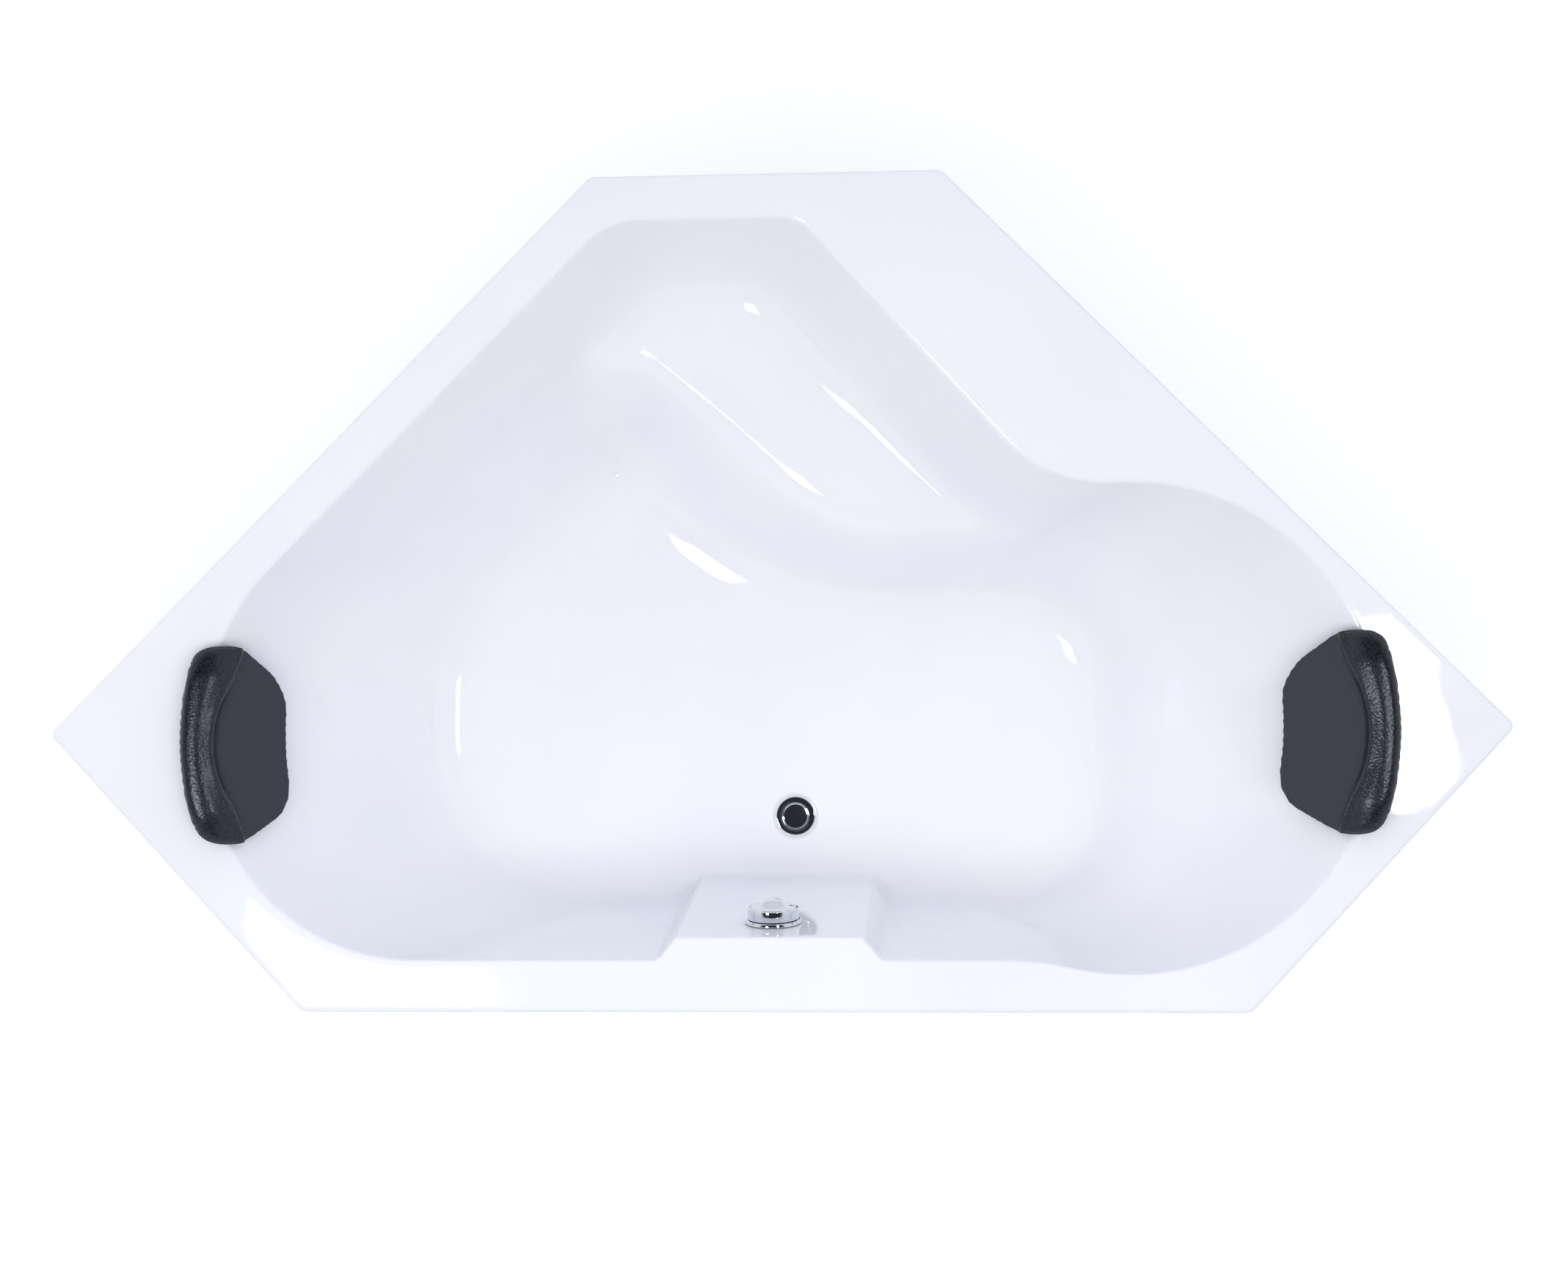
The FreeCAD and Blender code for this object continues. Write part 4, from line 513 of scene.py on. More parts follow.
def shell_surface():
    """The visible surface of the sheet as points and faces, open at the lip and the drain."""
    rows = basin_rows(coarse=False)
    points, faces = [tuple(p) for row in rows for p in row], strips(rows, 0)
    made, filled = drained_floor(rows[-1], len(points))
    points, faces = points + made, faces + filled
    outer = [rim_ring(inwards, depth, 7) for inwards, depth in LIP]
    start = len(points)
    points += [tuple(p) for row in outer for p in row]
    faces += strips(outer, start, outwards=True)
    made, filled = flat_fill(outer[0], [rows[0]], RIM_Z, len(points))
    return points + made, faces + filled


def merged(made, gap=0.01):
    """Joins points that lie in one place."""
    work = bmesh.new()
    work.from_mesh(made.data)
    bmesh.ops.remove_doubles(work, verts=work.verts, dist=gap * MM)
    bmesh.ops.dissolve_degenerate(work, edges=work.edges, dist=0.001 * MM)
    work.to_mesh(made.data)
    work.free()
    return made


def applied(made):
    """The object with its modifiers' result as its own mesh."""
    result = bpy.data.meshes.new_from_object(made.evaluated_get(bpy.context.evaluated_depsgraph_get()))
    result.name = made.name
    old = made.data
    made.modifiers.clear()
    made.data = result
    bpy.data.meshes.remove(old)
    return made


tub = merged(mesh_object("tub_skin", *shell_surface()))
sheet = tub.modifiers.new("sheet", "SOLIDIFY")
sheet.thickness = SHEET * MM
sheet.offset = -1
applied(tub)

material, tree = new_material("sanitary acrylic, cast white sheet, vacuum formed")
# Opaque glossy white with a cool cast. Its reflections keep the faint ripple of a formed sheet, about
# 110 mm long, and a peel of 4 mm; tone and gloss drift over 330 mm.
place = add_node(tree, "ShaderNodeTexCoord").outputs["Object"]
broad = add_node(tree, "ShaderNodeTexNoise", noise_dimensions="3D", Vector=place, Scale=3.0, Detail=2.0)
tone = add_node(tree, "ShaderNodeValToRGB", Fac=broad)
set_stops(tone, (0.35, "#F1F3F9"), (0.65, "#F5F6FB"))
ripple = add_node(tree, "ShaderNodeTexNoise", Vector=place, Scale=9.0, Detail=2.0)
peel = add_node(tree, "ShaderNodeTexNoise", Vector=place, Scale=260.0, Detail=1.0)
both = add_node(tree, "ShaderNodeMath", operation="MULTIPLY_ADD", _0=peel, _1=0.012, _2=ripple)
bump = add_node(tree, "ShaderNodeBump", Height=both, Strength=0.12, Distance=0.006)
sheen = add_node(tree, "ShaderNodeMapRange", Value=broad, _1=0.3, _2=0.7, _3=0.03, _4=0.055)
skin = add_node(tree, "ShaderNodeBsdfPrincipled", Base_Color=tone, Roughness=sheen, IOR=1.49, Normal=bump)
add_node(tree, "ShaderNodeOutputMaterial", Surface=skin)
tub.data.materials.clear()
tub.data.materials.append(material)
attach(tub, "tub")
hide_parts("tub_shell")

# ---------------------------------------- fibreglass backing
# Chopped glass strand and polyester resin, sprayed about 4 mm thick over the back of the formed sheet
# below the rim, and rolled down by hand. It is rough and milky, with a pale amber cast.
rows = basin_rows(coarse=True)
first_row = 4   # below the rim's bend, where the spraying starts
basin_points = [tuple(p) for row in rows[first_row:] for p in row]
basin_faces = strips(rows[first_row:], 0)
floor_points, floor_faces = drained_floor(rows[-1], len(basin_points))
backing = merged(mesh_object("fibreglass_skin", basin_points + floor_points, basin_faces + floor_faces))
work = bmesh.new()
work.from_mesh(backing.data)
for vertex in work.verts:
    rough = noise.noise(vertex.co * 60) * 0.5
    vertex.co -= vertex.normal * (SHEET + 0.2 + rough) * MM
work.to_mesh(backing.data)
work.free()
sprayed = backing.modifiers.new("sprayed layer", "SOLIDIFY")
sprayed.thickness = 3.5 * MM
sprayed.offset = -1
applied(backing)
material, tree = new_material("glass-reinforced polyester, sprayed and rolled")
# The strands lie at all angles in the resin and show as a net of cells about 12 mm wide; the resin's
# colour drifts over 40 mm.
place = add_node(tree, "ShaderNodeTexCoord").outputs["Object"]
strands = add_node(tree, "ShaderNodeTexVoronoi", feature="DISTANCE_TO_EDGE", Vector=place, Scale=85.0)
cloud = add_node(tree, "ShaderNodeTexNoise", Vector=place, Scale=24.0, Detail=6.0)
tone = add_node(tree, "ShaderNodeValToRGB", Fac=cloud)
set_stops(tone, (0.35, "#B9B49C"), (0.7, "#D8D5C4"))
height = add_node(tree, "ShaderNodeMath", operation="MULTIPLY_ADD", _0=strands, _1=0.6, _2=cloud)
bump = add_node(tree, "ShaderNodeBump", Height=height, Strength=0.7, Distance=0.002)
skin = add_node(tree, "ShaderNodeBsdfPrincipled", Base_Color=tone, Roughness=0.42, IOR=1.55, Normal=bump)
add_node(tree, "ShaderNodeOutputMaterial", Surface=skin)
backing.data.materials.append(material)
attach(backing, "tub")
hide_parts("fibreglass_backing")

# ---------------------------------------- headrests
# Moulded black polyurethane foam with its own skin. A rounded bolster hooks over the rim, and a pad with
# a hollow for the neck lies down the backrest; cups hold it from behind, so it lifts off.
HEADREST_OUTLINE = [
    (-33, 0), (-28, 70), (-18, 118), (-12, 134), (-1, 142), (16, 143), (38, 137), (60, 123), (88, 104),
    (103, 88), (115, 68), (119, 50), (118, 20), (119, -20), (123, -52), (124, -70), (120, -88), (108, -106),
    (88, -118), (58, -133), (34, -143), (14, -146), (0, -143), (-9, -134), (-15, -118), (-26, -72)]
BOLSTER_HEIGHT, PAD_HEIGHT, LEAST_HEIGHT = 44, 35, 2.0
EDGE_RADIUS, PAD_EDGE_RADIUS = 12.0, 8.0
REST_GAP = 0.5
# The skin bends over the rim from this far before its edge to this far past it, and then lies as steep as
# the backrest, which moves in by its inset over this drop.
HALF_BEND = 22
RECLINE_DROP = 213
ABOVE_SKIN = 90
tub_tree = BVHTree.FromObject(tub, bpy.context.evaluated_depsgraph_get())


def smooth_closed(corners, count):
    """A smooth closed curve through the corners, as evenly spaced points."""
    corners = np.array(corners, float)
    curve = []
    for i in range(len(corners)):
        a, b, c, d = (corners[(i + k) % len(corners)] for k in (-1, 0, 1, 2))
        for t in np.linspace(0, 1, 12, endpoint=False):
            curve.append(0.5 * (2 * b + (c - a) * t + (2 * a - 5 * b + 4 * c - d) * t ** 2
                                + (3 * b - a - 3 * c + d) * t ** 3))
    curve = np.array(curve)
    steps = np.linalg.norm(np.roll(curve, -1, 0) - curve, axis=1)
    travelled = np.concatenate(((0,), np.cumsum(steps)))
    wanted = np.linspace(0, travelled[-1], count, endpoint=False)
    closed = np.vstack((curve, curve[:1]))
    return np.column_stack([np.interp(wanted, travelled, closed[:, k]) for k in (0, 1)])


def eased(value, low, high):
    """0 below low, 1 above high, and smooth between."""
    t = np.clip((value - low) / (high - low), 0, 1)
    return t * t * (3 - 2 * t)


def faced_out(made):
    """The object with all its faces turned outwards."""
    work = bmesh.new()
    work.from_mesh(made.data)
    bmesh.ops.recalc_face_normals(work, faces=work.faces)
    work.to_mesh(made.data)
    work.free()
    return made


def ridge_line(sideways):
    """Where the bolster ends and the hollow begins, from the rim's edge."""
    return -2 + 24 * (np.abs(sideways) / 125) ** 2


def headrest_height(across, sideways):
    """Height of the skin over what it lies on: the bolster, its raised ridge, the hollow and the pad."""
    crest = -14 + sideways ** 2 / 780
    ridge = ridge_line(sideways)
    middle = 1 - eased(np.abs(sideways), 45, 105)
    end = eased(np.abs(sideways), 95, 143)
    top = BOLSTER_HEIGHT - 6 * end
    bolster = np.where(across < crest, top - 3 * ((across - crest) / 20) ** 2,
                       top - (top - PAD_HEIGHT - 2) * eased(across, crest, ridge + 4))
    bead = (2.6 + 2.4 * (1 - middle)) * np.exp(-((across - ridge + 1) / (3.5 + 3.0 * (1 - middle))) ** 2)
    hollow = (11 * middle * (1 - eased(across, ridge + 5, ridge + 46))
              + 2 * (1 - middle) * (1 - eased(across, ridge, ridge + 30)))
    pad = PAD_HEIGHT + eased(across, 60, 100) - hollow
    blend = eased(across, ridge - 1.5 - 5 * (1 - middle), ridge + 7 + 8 * (1 - middle))
    return bolster * (1 - blend) + pad * blend + bead


def headrest(name, end, sign, middle_y, pad_length):
    """One headrest on its end of the basin; sign points from the end into the basin."""
    line_x = SIDES[end][0]
    recline = math.atan2(SIDES[end][3][0], RECLINE_DROP)
    outline = smooth_closed(HEADREST_OUTLINE, 260)
    # The pad, from 20 mm in, is stretched to its own length.
    outline[:, 0] = np.where(outline[:, 0] > 20, 20 + (outline[:, 0] - 20) * (pad_length - 20) / 102,
                             outline[:, 0])
    low, high = int(np.argmin(outline[:, 1])), int(np.argmax(outline[:, 1]))
    turned_round = np.roll(outline, -high, 0)
    split = (low - high) % len(outline)
    chains = [turned_round[:split + 1], np.vstack((turned_round[split:], turned_round[:1]))]
    chains.sort(key=lambda chain: chain[:, 0].mean())
    outer, inner = (chain[np.argsort(chain[:, 1])] for chain in chains)
    turns = np.linspace(-math.pi / 2, math.pi / 2, 126)[1:-1]
    bottom, top = outline[low, 1], outline[high, 1]
    lines = (bottom + top) / 2 + (top - bottom) / 2 * np.sin(turns)
    cosines = (1 - np.cos(np.linspace(0, math.pi, 25))) / 2

    # The skin is set out from a line that bends smoothly over the rim's edge and on down the backrest.
    bend = np.linspace(-HALF_BEND, HALF_BEND, 4 * HALF_BEND + 1)
    bend_turns = eased(bend, -HALF_BEND, HALF_BEND) * (math.pi / 2 - recline)
    run = np.concatenate(((0,), np.cumsum(np.cos(bend_turns[:-1]) * 0.5)))
    fall = np.concatenate(((0,), np.cumsum(np.sin(bend_turns[:-1]) * 0.5)))
    corner = run[-1] / (1 + math.sin(recline))

    def placed(across, sideways, height, share):
        """A point over the tub, at a share of the height of the skin there."""
        turn = eased(across, -HALF_BEND, HALF_BEND) * (math.pi / 2 - recline)
        out = Vector((sign * math.sin(turn), 0, math.cos(turn)))
        along_bend = min(max(across, -HALF_BEND), HALF_BEND)
        past = across - along_bend
        inwards = np.interp(along_bend, bend, run) - corner + past * math.cos(turn)
        foot = Vector((line_x + sign * inwards, middle_y + sideways,
                       RIM_Z - np.interp(along_bend, bend, fall) - past * math.sin(turn)))
        hit = tub_tree.ray_cast((foot + out * ABOVE_SKIN) * MM, -out, 0.3)[0]
        base = hit / MM + out * REST_GAP
        lift = max((foot + out * height - base).dot(out), LEAST_HEIGHT)
        return base + out * lift * share

    def skin_height(across, sideways):
        """Height of the skin, rounded off towards the outline."""
        inside = np.min(np.linalg.norm(outline - (across, sideways), axis=1))
        height = float(headrest_height(across, sideways))
        radius = EDGE_RADIUS - (EDGE_RADIUS - PAD_EDGE_RADIUS) * float(eased(across, 0, 45))
        near = max(0.0, 1 - inside / radius)
        return height - radius * (1 - math.sqrt(max(1 - near * near, 0.0)))

    grid = []
    for sideways in lines:
        first, last = (float(np.interp(sideways, chain[:, 1], chain[:, 0])) for chain in (outer, inner))
        ridge = max(float(ridge_line(sideways)) + 2, first + 0.16 * (last - first))
        ridge = min(ridge, last - 0.25 * (last - first))
        across = np.concatenate((first + (ridge - first) * cosines, ridge + (last - ridge) * cosines[1:]))
        grid.append([(a, float(sideways)) for a in across])
    columns = len(grid[0])
    upper = [placed(a, b, skin_height(a, b), 1.0) for row in grid for a, b in row]
    under = [placed(a, b, 20.0, 0.0) for row in grid for a, b in row]
    points = upper + under
    half = len(upper)
    faces = []
    for j in range(len(grid) - 1):
        for i in range(columns - 1):
            a = j * columns + i
            faces.append((a, a + 1, a + 1 + columns, a + columns))
            faces.append((half + a, half + a + columns, half + a + 1 + columns, half + a + 1))
    border = (list(range(columns)) + [j * columns + columns - 1 for j in range(1, len(grid))]
              + [(len(grid) - 1) * columns + i for i in range(columns - 2, -1, -1)]
              + [j * columns for j in range(len(grid) - 2, 0, -1)])
    for a, b in zip(border, border[1:] + border[:1]):
        faces.append((a, half + a, half + b, b))
    made = mesh_object(name, points, faces)
    # The bolster's points are marked for its grain, its gloss and its painted darker shade.
    marks = made.data.attributes.new("grained", "FLOAT", "POINT")
    flat = [place for row in grid for place in row]
    for index, mark in enumerate(marks.data):
        across, sideways = flat[index % half]
        ridge = float(ridge_line(sideways))
        mark.value = float(1 - eased(across, ridge + 1, ridge + 7))
    return faced_out(made)


material, tree = new_material("self-skinned polyurethane foam, moulded black")
# The mould's fine leather grain shows on the bolster, where the skin is glossier; the pad is plain and matt.
# The bolster is
# painted darker than the pad: painted shade for the dark look its gloss takes under this light.
# Grain cells are about 3.3 mm, coarser than the mould's 2 mm, so that they show from above.
place = add_node(tree, "ShaderNodeTexCoord").outputs["Object"]
grain = add_node(tree, "ShaderNodeTexVoronoi", feature="F1", Vector=place, Scale=300.0)
mottle = add_node(tree, "ShaderNodeTexNoise", Vector=place, Scale=300.0, Detail=4.0)
grained = add_node(tree, "ShaderNodeAttribute", attribute_name="grained").outputs["Fac"]
# Painted shade: the bolster, where the mark is 1, is painted darker than the pad.
tone = add_node(tree, "ShaderNodeValToRGB", Fac=grained)
set_stops(tone, (0.0, "#34373E"), (1.0, "#14171C"))
# Painted glints: light specks at the middles of the grain's cells on the bolster, darker towards the cells'
# edges.
speckle = add_node(tree, "ShaderNodeValToRGB", Fac=grain)
set_stops(speckle, (0.25, "#23292F"), (0.7, "#101317"))
tone = add_node(tree, "ShaderNodeMixRGB", _0=grained, _1=tone, _2=speckle)
gloss = add_node(tree, "ShaderNodeMapRange", Value=grained, _1=0.0, _2=1.0, _3=0.8, _4=0.27)
height = add_node(tree, "ShaderNodeMath", operation="MULTIPLY_ADD", _0=grain, _1=0.8, _2=mottle)
depth = add_node(tree, "ShaderNodeMapRange", Value=grained, _1=0.0, _2=1.0, _3=0.02, _4=0.22)
bump = add_node(tree, "ShaderNodeBump", Height=height, Strength=depth, Distance=0.0012)
skin = add_node(tree, "ShaderNodeBsdfPrincipled", Base_Color=tone, Roughness=gloss, IOR=1.5,
                Specular_IOR_Level=0.4, Normal=bump)
add_node(tree, "ShaderNodeOutputMaterial", Surface=skin)
for name, end, sign, middle_y, pad_length in (("left", "left_end", 1, TIPS_Y - 16, 122),
                                              ("right", "right_end", -1, TIPS_Y - 6, 137)):
    pillow = headrest("headrest_" + name + "_foam", end, sign, middle_y, pad_length)
    pillow.data.materials.append(material)
    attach(pillow, "tub")
    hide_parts("headrest_" + name)

# ---------------------------------------- drain
# Chromed brass flange with a plug that rises in it. Both are turned and polished; the plug's edge is
# rounded, and a narrow dark gap parts the two.
def lathe(name, profile, steps, matrix, smooth_angle=35):
    """A turned piece: a closed profile of (radius, height) pairs spun about its axis, then placed."""
    points, faces = [], []
    for i in range(steps):
        angle = 2 * math.pi * i / steps
        points += [matrix @ Vector((r * math.cos(angle), r * math.sin(angle), z)) for r, z in profile]
    count = len(profile)
    for i in range(steps):
        for k in range(count):
            a, b = i * count + k, i * count + (k + 1) % count
            c, d = (i + 1) % steps * count + (k + 1) % count, (i + 1) % steps * count + k
            faces.append((a, b, c, d))
    made = faced_out(merged(mesh_object(name, points, faces), 0.02))
    made.data.set_sharp_from_angle(angle=math.radians(smooth_angle))
    return made


def arc(centre_r, centre_z, radius, start, end, count=6):
    """Points of a rounded edge of a turned piece; angles in degrees."""
    return [(centre_r + radius * math.cos(math.radians(start + (end - start) * i / count)),
             centre_z + radius * math.sin(math.radians(start + (end - start) * i / count)))
            for i in range(count + 1)]


def metal(name, colour, rough, scale, lay=0.02):
    """A bare or plated metal: marks 1000 / scale mm long change its roughness and raise it a little."""
    material, tree = new_material(name)
    place = add_node(tree, "ShaderNodeTexCoord").outputs["Object"]
    marks = add_node(tree, "ShaderNodeTexNoise", Vector=place, Scale=scale, Detail=3.0)
    gloss = add_node(tree, "ShaderNodeMapRange", Value=marks, _1=0.3, _2=0.7, _3=rough[0], _4=rough[1])
    bump = add_node(tree, "ShaderNodeBump", Height=marks, Strength=lay, Distance=0.0006)
    skin = add_node(tree, "ShaderNodeBsdfPrincipled", Base_Color=linear(colour), Metallic=1.0,
                    Roughness=gloss, Normal=bump)
    add_node(tree, "ShaderNodeOutputMaterial", Surface=skin)
    return material


chrome = metal("chromium plate on brass, polished", "#DCE0E4", (0.03, 0.07), 160.0)
at_drain = Matrix.Translation((DRAIN[0], DRAIN[1], 0))
flange = lathe("drain_ring", [(24.2, 146.6), (24.0, 149.2), (24.4, 149.7)] + arc(30.0, 148.9, 1.0, 90, 0, 5)
               + [(31.0, 147.2), (21.5, 147.0), (21.5, 111.2), (19.2, 111.2), (19.0, 145.6), (23.6, 146.2)],
               96, at_drain)
flange.data.materials.append(chrome)
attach(flange, "tub")
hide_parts("drain_flange")
plug = lathe("drain_plug", [(0.0, 149.0), (18.6, 149.05), (19.4, 149.2), (20.0, 149.7)]
             + arc(21.2, 148.8, 1.15, 110, -20, 6) + [(22.4, 146.6), (21.8, 146.1), (0.0, 146.0)],
             96, at_drain)
plug.data.materials.append(chrome)
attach(plug, "plug")
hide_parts("plug_cap")

# ---------------------------------------- overflow knob and its plate
# Die-cast zinc, chromium plated. The plate covers the overflow hole, and the knob turns in front of it to
# lift the plug; its domed face has a raised middle and a fine groove round its edge.
FACE_POINT = (PANEL_X, -485.9348, 485.0)
panel_frame = Matrix.Translation(FACE_POINT) @ Matrix.Rotation(math.pi / 2 - PANEL_ANGLE, 4, "X").inverted()
plate = lathe("overflow_ring", [(4.4, 0.4), (41.6, 0.4), (42.0, 0.8), (42.0, 3.8)]
              + arc(40.0, 4.0, 1.9, 0, 90, 5)
              + [(36.0, 6.0), (35.0, 5.2), (12.0, 5.2), (11.0, 6.0), (4.4, 6.0)], 96, panel_frame)
plate.data.materials.append(chrome)
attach(plate, "tub")
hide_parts("overflow_faceplate")
KNOB_LOW, KNOB_TOP = 6.8, 22.8
# The knob's face from its edge to its middle: each point's radius, and its height over the edge.
KNOB_FACE = ((36.6, 0.05), (35.2, 0.25), (34.9, -0.6), (34.2, -0.6), (33.9, 0.5), (30.0, 1.5), (26.0, 2.4),
             (23.0, 3.2), (20.6, 4.3), (18.6, 6.2), (16.6, 8.4), (13.8, 10.5), (10.2, 12.0), (5.6, 12.8),
             (0, 13.0))
knob = lathe("overflow_knob_cap",
             [(9.0, KNOB_LOW + 1), (9.0, KNOB_TOP - 2.5), (35.7, KNOB_TOP - 2.5), (35.7, KNOB_LOW)]
             + arc(37.5, KNOB_LOW + 0.7, 0.7, -90, 0, 3) + arc(37.2, KNOB_TOP - 1.0, 1.0, 0, 80, 5)
             + [(radius, KNOB_TOP + height) for radius, height in KNOB_FACE] + [(0, KNOB_LOW + 1)],
             128, panel_frame, 50)
knob.data.materials.append(chrome)
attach(knob, "knob")
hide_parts("overflow_knob")

# ---------------------------------------- overflow hose
# A corrugated hose of grey polyethylene, 32 mm across, clipped to the elbow behind the panel and to the
# drain body. It drops behind the wall, turns under the floor and runs straight in.
def plastic(name, colours, rough, scale, lay, ior=1.5):
    """A moulded plastic or rubber: its colour drifts over 70 mm, its texture is 1000 / scale mm long."""
    material, tree = new_material(name)
    place = add_node(tree, "ShaderNodeTexCoord").outputs["Object"]
    drift = add_node(tree, "ShaderNodeTexNoise", Vector=place, Scale=14.0, Detail=3.0)
    tone = add_node(tree, "ShaderNodeValToRGB", Fac=drift)
    set_stops(tone, (0.35, colours[0]), (0.65, colours[1]))
    texture = add_node(tree, "ShaderNodeTexNoise", Vector=place, Scale=scale, Detail=3.0)
    gloss = add_node(tree, "ShaderNodeMapRange", Value=texture, _1=0.3, _2=0.7, _3=rough[0], _4=rough[1])
    bump = add_node(tree, "ShaderNodeBump", Height=texture, Strength=lay, Distance=0.0008)
    skin = add_node(tree, "ShaderNodeBsdfPrincipled", Base_Color=tone, Roughness=gloss, IOR=ior, Normal=bump)
    add_node(tree, "ShaderNodeOutputMaterial", Surface=skin)
    return material


def with_nodes(made, tree, **values):
    """The object with a node tree's result as its mesh; values are the tree's inputs by name."""
    modifier = made.modifiers.new(tree.name, "NODES")
    modifier.node_group = tree
    for item in tree.interface.items_tree:
        if item.in_out == "INPUT" and item.name in values:
            modifier[item.identifier] = values[item.name]
    result = bpy.data.meshes.new_from_object(made.evaluated_get(bpy.context.evaluated_depsgraph_get()))
    name = made.name
    bpy.data.objects.remove(made)
    result.name = name
    made = bpy.data.objects.new(name, result)
    scene.collection.objects.link(made)
    return made


def node_tree(name, inputs):
    """A geometry node tree with these inputs and one geometry output, and the sockets of its inputs."""
    tree = bpy.data.node_groups.new(name, "GeometryNodeTree")
    tree.is_modifier = True
    for label, kind in [("Geometry", "Geometry")] + inputs:
        tree.interface.new_socket(name=label, in_out="INPUT", socket_type="NodeSocket" + kind)
    tree.interface.new_socket(name="Result", in_out="OUTPUT", socket_type="NodeSocketGeometry")
    return tree, add_node(tree, "NodeGroupInput").outputs


HOSE_RADIUS, HOSE_BEND, HOSE_GROOVE, HOSE_PITCH, HOSE_WALL = 16.0, 40.0, 1.6, 5.0, 1.2
PORT_Z, ELBOW_DOWN, ELBOW_BACK, PORT_REACH = 104.7, 40, -30.3, 28
down_panel = Vector((0, math.sin(PANEL_ANGLE), -math.cos(PANEL_ANGLE)))
out_of_panel = Vector((0, math.cos(PANEL_ANGLE), math.sin(PANEL_ANGLE)))
hose_start = Vector(FACE_POINT) + down_panel * ELBOW_DOWN + out_of_panel * ELBOW_BACK
hose_corner = hose_start + down_panel * ((hose_start.z - PORT_Z) / math.cos(PANEL_ANGLE))
port = Vector((DRAIN[0], DRAIN[1], PORT_Z))
hose_end = port + (hose_corner - port).normalized() * PORT_REACH
data = bpy.data.curves.new("overflow_hose_tube", "CURVE")
data.dimensions = "3D"
line = data.splines.new("POLY")
line.points.add(2)
for point, place in zip(line.points, (hose_start, hose_corner, hose_end)):
    point.co = (*(place * MM), 1)
hose = bpy.data.objects.new("overflow_hose_tube", data)
scene.collection.objects.link(hose)
# The hose's rings are swept along the line: a cosine of the way along makes each groove.
tree, given = node_tree("corrugated hose", [("Radius", "Float"), ("Bend", "Float"), ("Groove", "Float"),
                                            ("Pitch", "Float"), ("Finish", "Material")])
bent = add_node(tree, "GeometryNodeFilletCurve", mode="POLY", Curve=given["Geometry"], Count=24,
                Radius=given["Bend"])
step = add_node(tree, "ShaderNodeMath", operation="DIVIDE", _0=given["Pitch"], _1=6.0)
even = add_node(tree, "GeometryNodeResampleCurve", mode="LENGTH", Curve=bent, Length=step)
travelled = add_node(tree, "GeometryNodeSplineParameter")
turns = add_node(tree, "ShaderNodeMath", operation="DIVIDE", _0=travelled.outputs["Length"],
                 _1=given["Pitch"])
phase = add_node(tree, "ShaderNodeMath", operation="MULTIPLY", _0=turns, _1=2 * math.pi)
wave = add_node(tree, "ShaderNodeMath", operation="COSINE", _0=phase)
sunk = add_node(tree, "ShaderNodeMath", operation="MULTIPLY_ADD", _0=wave, _1=0.5, _2=-0.5)
across = add_node(tree, "ShaderNodeMath", operation="MULTIPLY_ADD", _0=sunk,
                  _1=given["Groove"], _2=given["Radius"])
profile = add_node(tree, "GeometryNodeCurvePrimitiveCircle", Resolution=36, Radius=1.0)
swept = add_node(tree, "GeometryNodeCurveToMesh", Curve=even, Profile_Curve=profile, Scale=across)
finished = add_node(tree, "GeometryNodeSetMaterial", Geometry=swept, Material=given["Finish"])
add_node(tree, "NodeGroupOutput", _0=finished)
hose_plastic = plastic("polyethylene, corrugated grey hose", ("#8A8E92", "#989CA0"), (0.35, 0.5), 220.0, 0.15)
hose = with_nodes(hose, tree, Radius=HOSE_RADIUS * MM, Bend=HOSE_BEND * MM, Groove=HOSE_GROOVE * MM,
                  Pitch=HOSE_PITCH * MM, Finish=hose_plastic)
for polygon in hose.data.polygons:
    polygon.use_smooth = True
wall = hose.modifiers.new("wall", "SOLIDIFY")
wall.thickness = HOSE_WALL * MM
wall.offset = -1
applied(hose)
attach(hose, "tub")
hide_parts("overflow_hose")

# ---------------------------------------- levelling legs
# Lengths of M12 threaded rod, 1.75 mm to a turn, zinc plated. They turn in their feet, and a nut locks
# each, so that the tub stands level on an uneven floor.
zinc = metal("steel, zinc plated", "#B9BEC1", (0.24, 0.42), 90.0, 0.12)
tree, given = node_tree("threaded rods", [("Radius", "Float"), ("Length", "Float"), ("Pitch", "Float"),
                                          ("Depth", "Float"), ("Finish", "Material")])
winds = add_node(tree, "ShaderNodeMath", operation="DIVIDE", _0=given["Length"], _1=given["Pitch"])
rows_wanted = add_node(tree, "ShaderNodeMath", operation="MULTIPLY", _0=winds, _1=4.0)
blank = add_node(tree, "GeometryNodeMeshCylinder", Vertices=18, Side_Segments=rows_wanted,
                 Radius=given["Radius"], Depth=given["Length"])
place = add_node(tree, "GeometryNodeInputPosition")
split = add_node(tree, "ShaderNodeSeparateXYZ", _0=place)
bearing = add_node(tree, "ShaderNodeMath", operation="ARCTAN2", _0=split.outputs["Y"], _1=split.outputs["X"])
turned = add_node(tree, "ShaderNodeMath", operation="DIVIDE", _0=bearing, _1=2 * math.pi)
climbed = add_node(tree, "ShaderNodeMath", operation="DIVIDE", _0=split.outputs["Z"], _1=given["Pitch"])
wound = add_node(tree, "ShaderNodeMath", operation="SUBTRACT", _0=climbed, _1=turned)
groove = add_node(tree, "ShaderNodeMath", operation="PINGPONG", _0=wound, _1=0.5)
share = add_node(tree, "ShaderNodeMath", operation="DIVIDE", _0=given["Depth"], _1=given["Radius"])
cut_in = add_node(tree, "ShaderNodeMath", operation="MULTIPLY", _0=groove, _1=share)
kept = add_node(tree, "ShaderNodeMath", operation="MULTIPLY_ADD", _0=cut_in, _1=-2.0, _2=1.0)
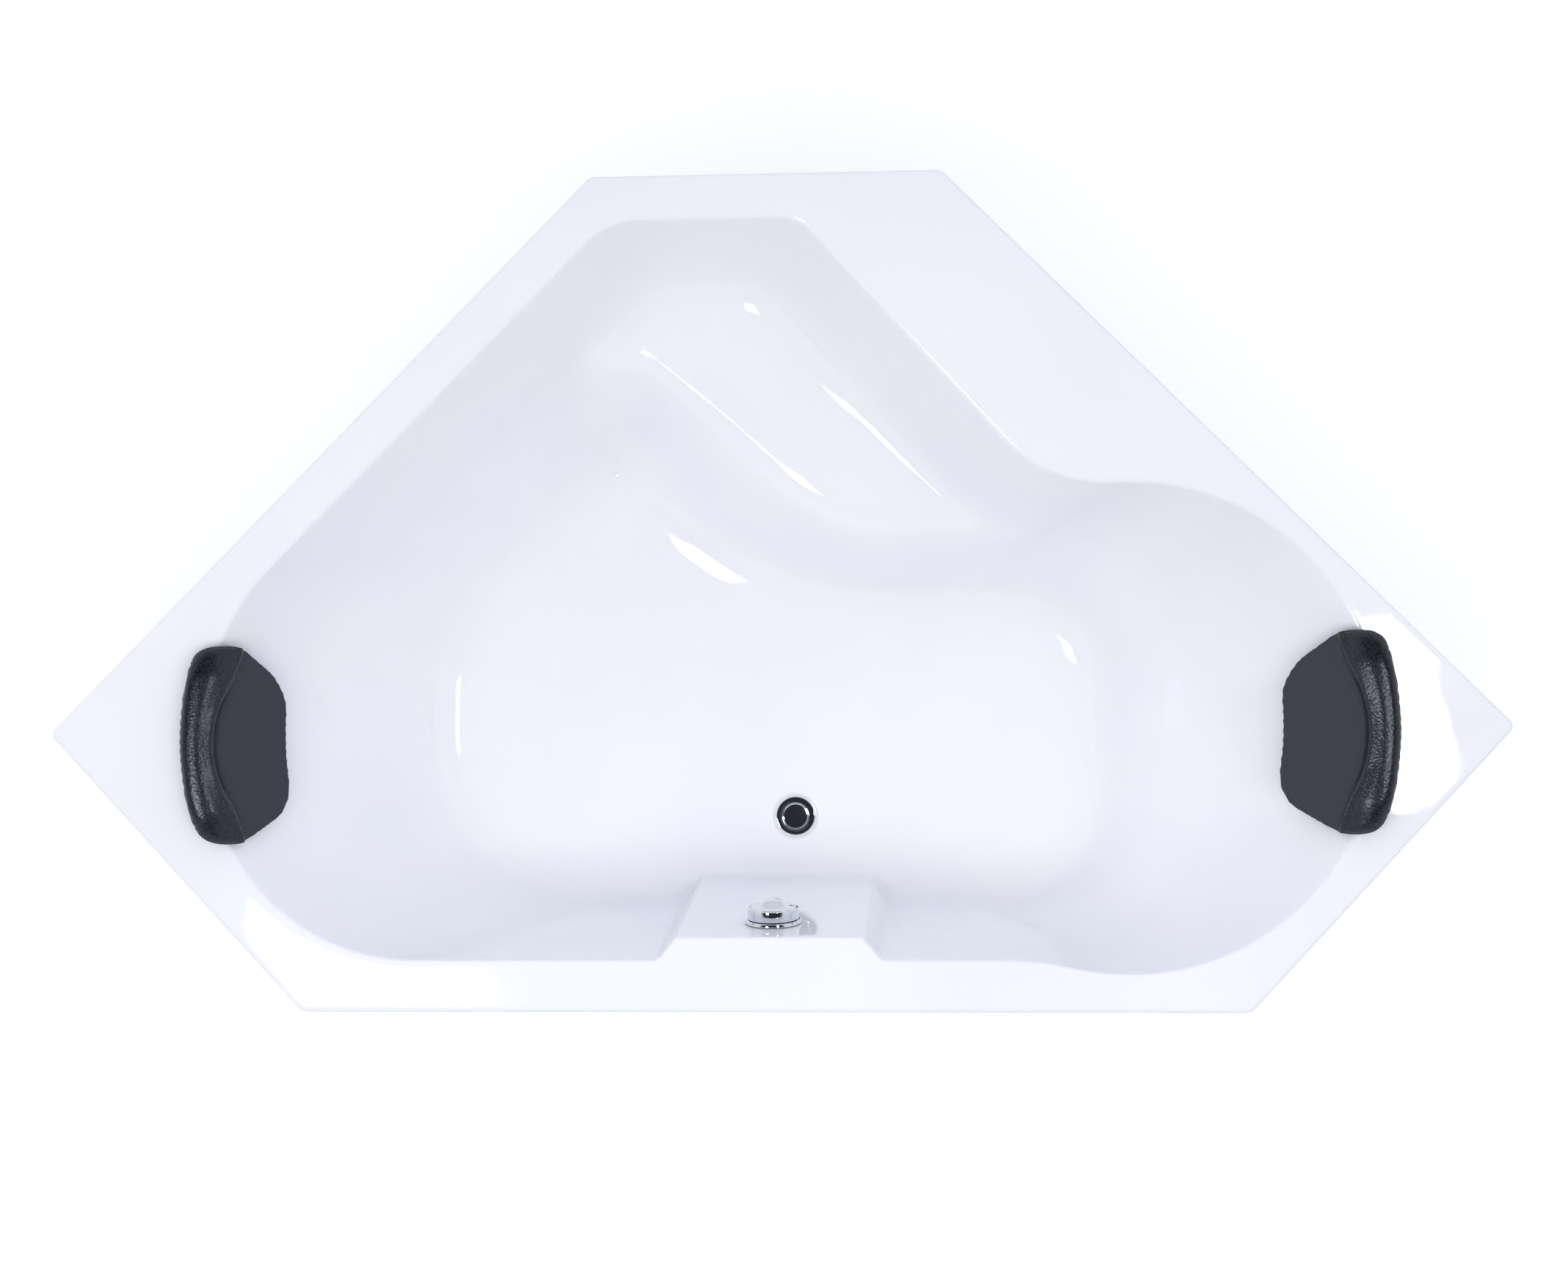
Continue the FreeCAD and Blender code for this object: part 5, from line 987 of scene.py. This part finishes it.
shrink = add_node(tree, "ShaderNodeCombineXYZ", X=kept, Y=kept, Z=1.0)
narrowed = add_node(tree, "ShaderNodeVectorMath", operation="MULTIPLY", _0=place, _1=shrink)
threaded = add_node(tree, "GeometryNodeSetPosition", Geometry=blank.outputs["Mesh"], Position=narrowed)
rods = add_node(tree, "GeometryNodeInstanceOnPoints", Points=given["Geometry"], Instance=threaded)
real = add_node(tree, "GeometryNodeRealizeInstances", Geometry=rods)
finished = add_node(tree, "GeometryNodeSetMaterial", Geometry=real, Material=given["Finish"])
add_node(tree, "NodeGroupOutput", _0=finished)
ROD_RADIUS, THREAD_PITCH, THREAD_DEPTH = 6.0, 1.75, 0.9
LEG_FOOT = 8.3
RAIL_LEGS = [(x, y) for x in (-330, 330) for y in (-399.33, -63.33)]
POST_LEGS = [(-954.66, TIPS_Y), (954.66, TIPS_Y), (0, 578.33)]
for name, places, top in (("rail_legs", RAIL_LEGS, 116.7), ("post_legs", POST_LEGS, 84.0)):
    ends = mesh_object(name, [(x, y, (LEG_FOOT + top) / 2) for x, y in places], [])
    legs = with_nodes(ends, tree, Radius=ROD_RADIUS * MM, Length=(top - LEG_FOOT) * MM,
                      Pitch=THREAD_PITCH * MM, Depth=THREAD_DEPTH * MM, Finish=zinc)
    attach(legs, "tub")
    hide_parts("threaded_legs")

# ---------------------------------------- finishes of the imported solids
# Chipboard shows chips about 3 mm wide and fibres of 8 mm. The tubes are hot-dip galvanised, with zinc
# spangles about 10 mm across. Screws and nuts are plated, and the plumbing is white polypropylene.
chipboard, tree = new_material("chipboard, raw")
place = add_node(tree, "ShaderNodeTexCoord").outputs["Object"]
chips = add_node(tree, "ShaderNodeTexVoronoi", feature="F1", Vector=place, Scale=330.0)
fibres = add_node(tree, "ShaderNodeTexNoise", Vector=place, Scale=120.0, Detail=6.0)
mixed_chips = add_node(tree, "ShaderNodeSeparateColor", _0=chips.outputs["Color"])
both = add_node(tree, "ShaderNodeMath", operation="MULTIPLY_ADD", _0=mixed_chips, _1=0.5, _2=fibres)
tone = add_node(tree, "ShaderNodeValToRGB", Fac=both)
set_stops(tone, (0.45, "#A98352"), (0.95, "#D9BE90"))
bump = add_node(tree, "ShaderNodeBump", Height=both, Strength=0.35, Distance=0.0008)
skin = add_node(tree, "ShaderNodeBsdfPrincipled", Base_Color=tone, Roughness=0.78, IOR=1.45, Normal=bump)
add_node(tree, "ShaderNodeOutputMaterial", Surface=skin)

galvanised, tree = new_material("steel tube, hot-dip galvanised")
place = add_node(tree, "ShaderNodeTexCoord").outputs["Object"]
spangles = add_node(tree, "ShaderNodeTexVoronoi", feature="F1", Vector=place, Scale=95.0)
tints = add_node(tree, "ShaderNodeSeparateColor", _0=spangles.outputs["Color"])
tone = add_node(tree, "ShaderNodeValToRGB", Fac=tints)
set_stops(tone, (0.1, "#9DA2A5"), (0.9, "#C3C7C9"))
gloss = add_node(tree, "ShaderNodeMapRange", Value=tints.outputs[1], _1=0.0, _2=1.0, _3=0.3, _4=0.52)
bump = add_node(tree, "ShaderNodeBump", Height=tints.outputs[2], Strength=0.08, Distance=0.0005)
skin = add_node(tree, "ShaderNodeBsdfPrincipled", Base_Color=tone, Metallic=1.0,
                Roughness=gloss, Normal=bump)
add_node(tree, "ShaderNodeOutputMaterial", Surface=skin)

finish_of = {
    "chipboard": chipboard,
    "galvanised_steel": galvanised,
    "black_plastic": plastic("polyamide, glass filled, black", ("#17181A", "#1F2022"), (0.38, 0.55),
                             300.0, 0.2),
    "sealing_rubber": plastic("nitrile rubber, black", ("#1B1B1C", "#242425"), (0.6, 0.75), 400.0, 0.15,
                              1.52),
    "stainless": metal("stainless steel, pickled", "#C2C4C6", (0.2, 0.36), 350.0, 0.06),
    "white_plastic": plastic("polypropylene, moulded white", ("#DFE0DE", "#EAEBE9"), (0.3, 0.45), 160.0,
                             0.1, 1.49),
    "brass": metal("brass, turned", "#C7A25A", (0.16, 0.3), 300.0, 0.05),
}
PLATED = ("rail_screws", "post_screws", "lock_nuts")
for name, solid in nodes.items():
    finish = zinc if name in PLATED else finish_of.get(slot_of[name])
    if finish:
        for held in solid.material_slots:
            held.material = finish
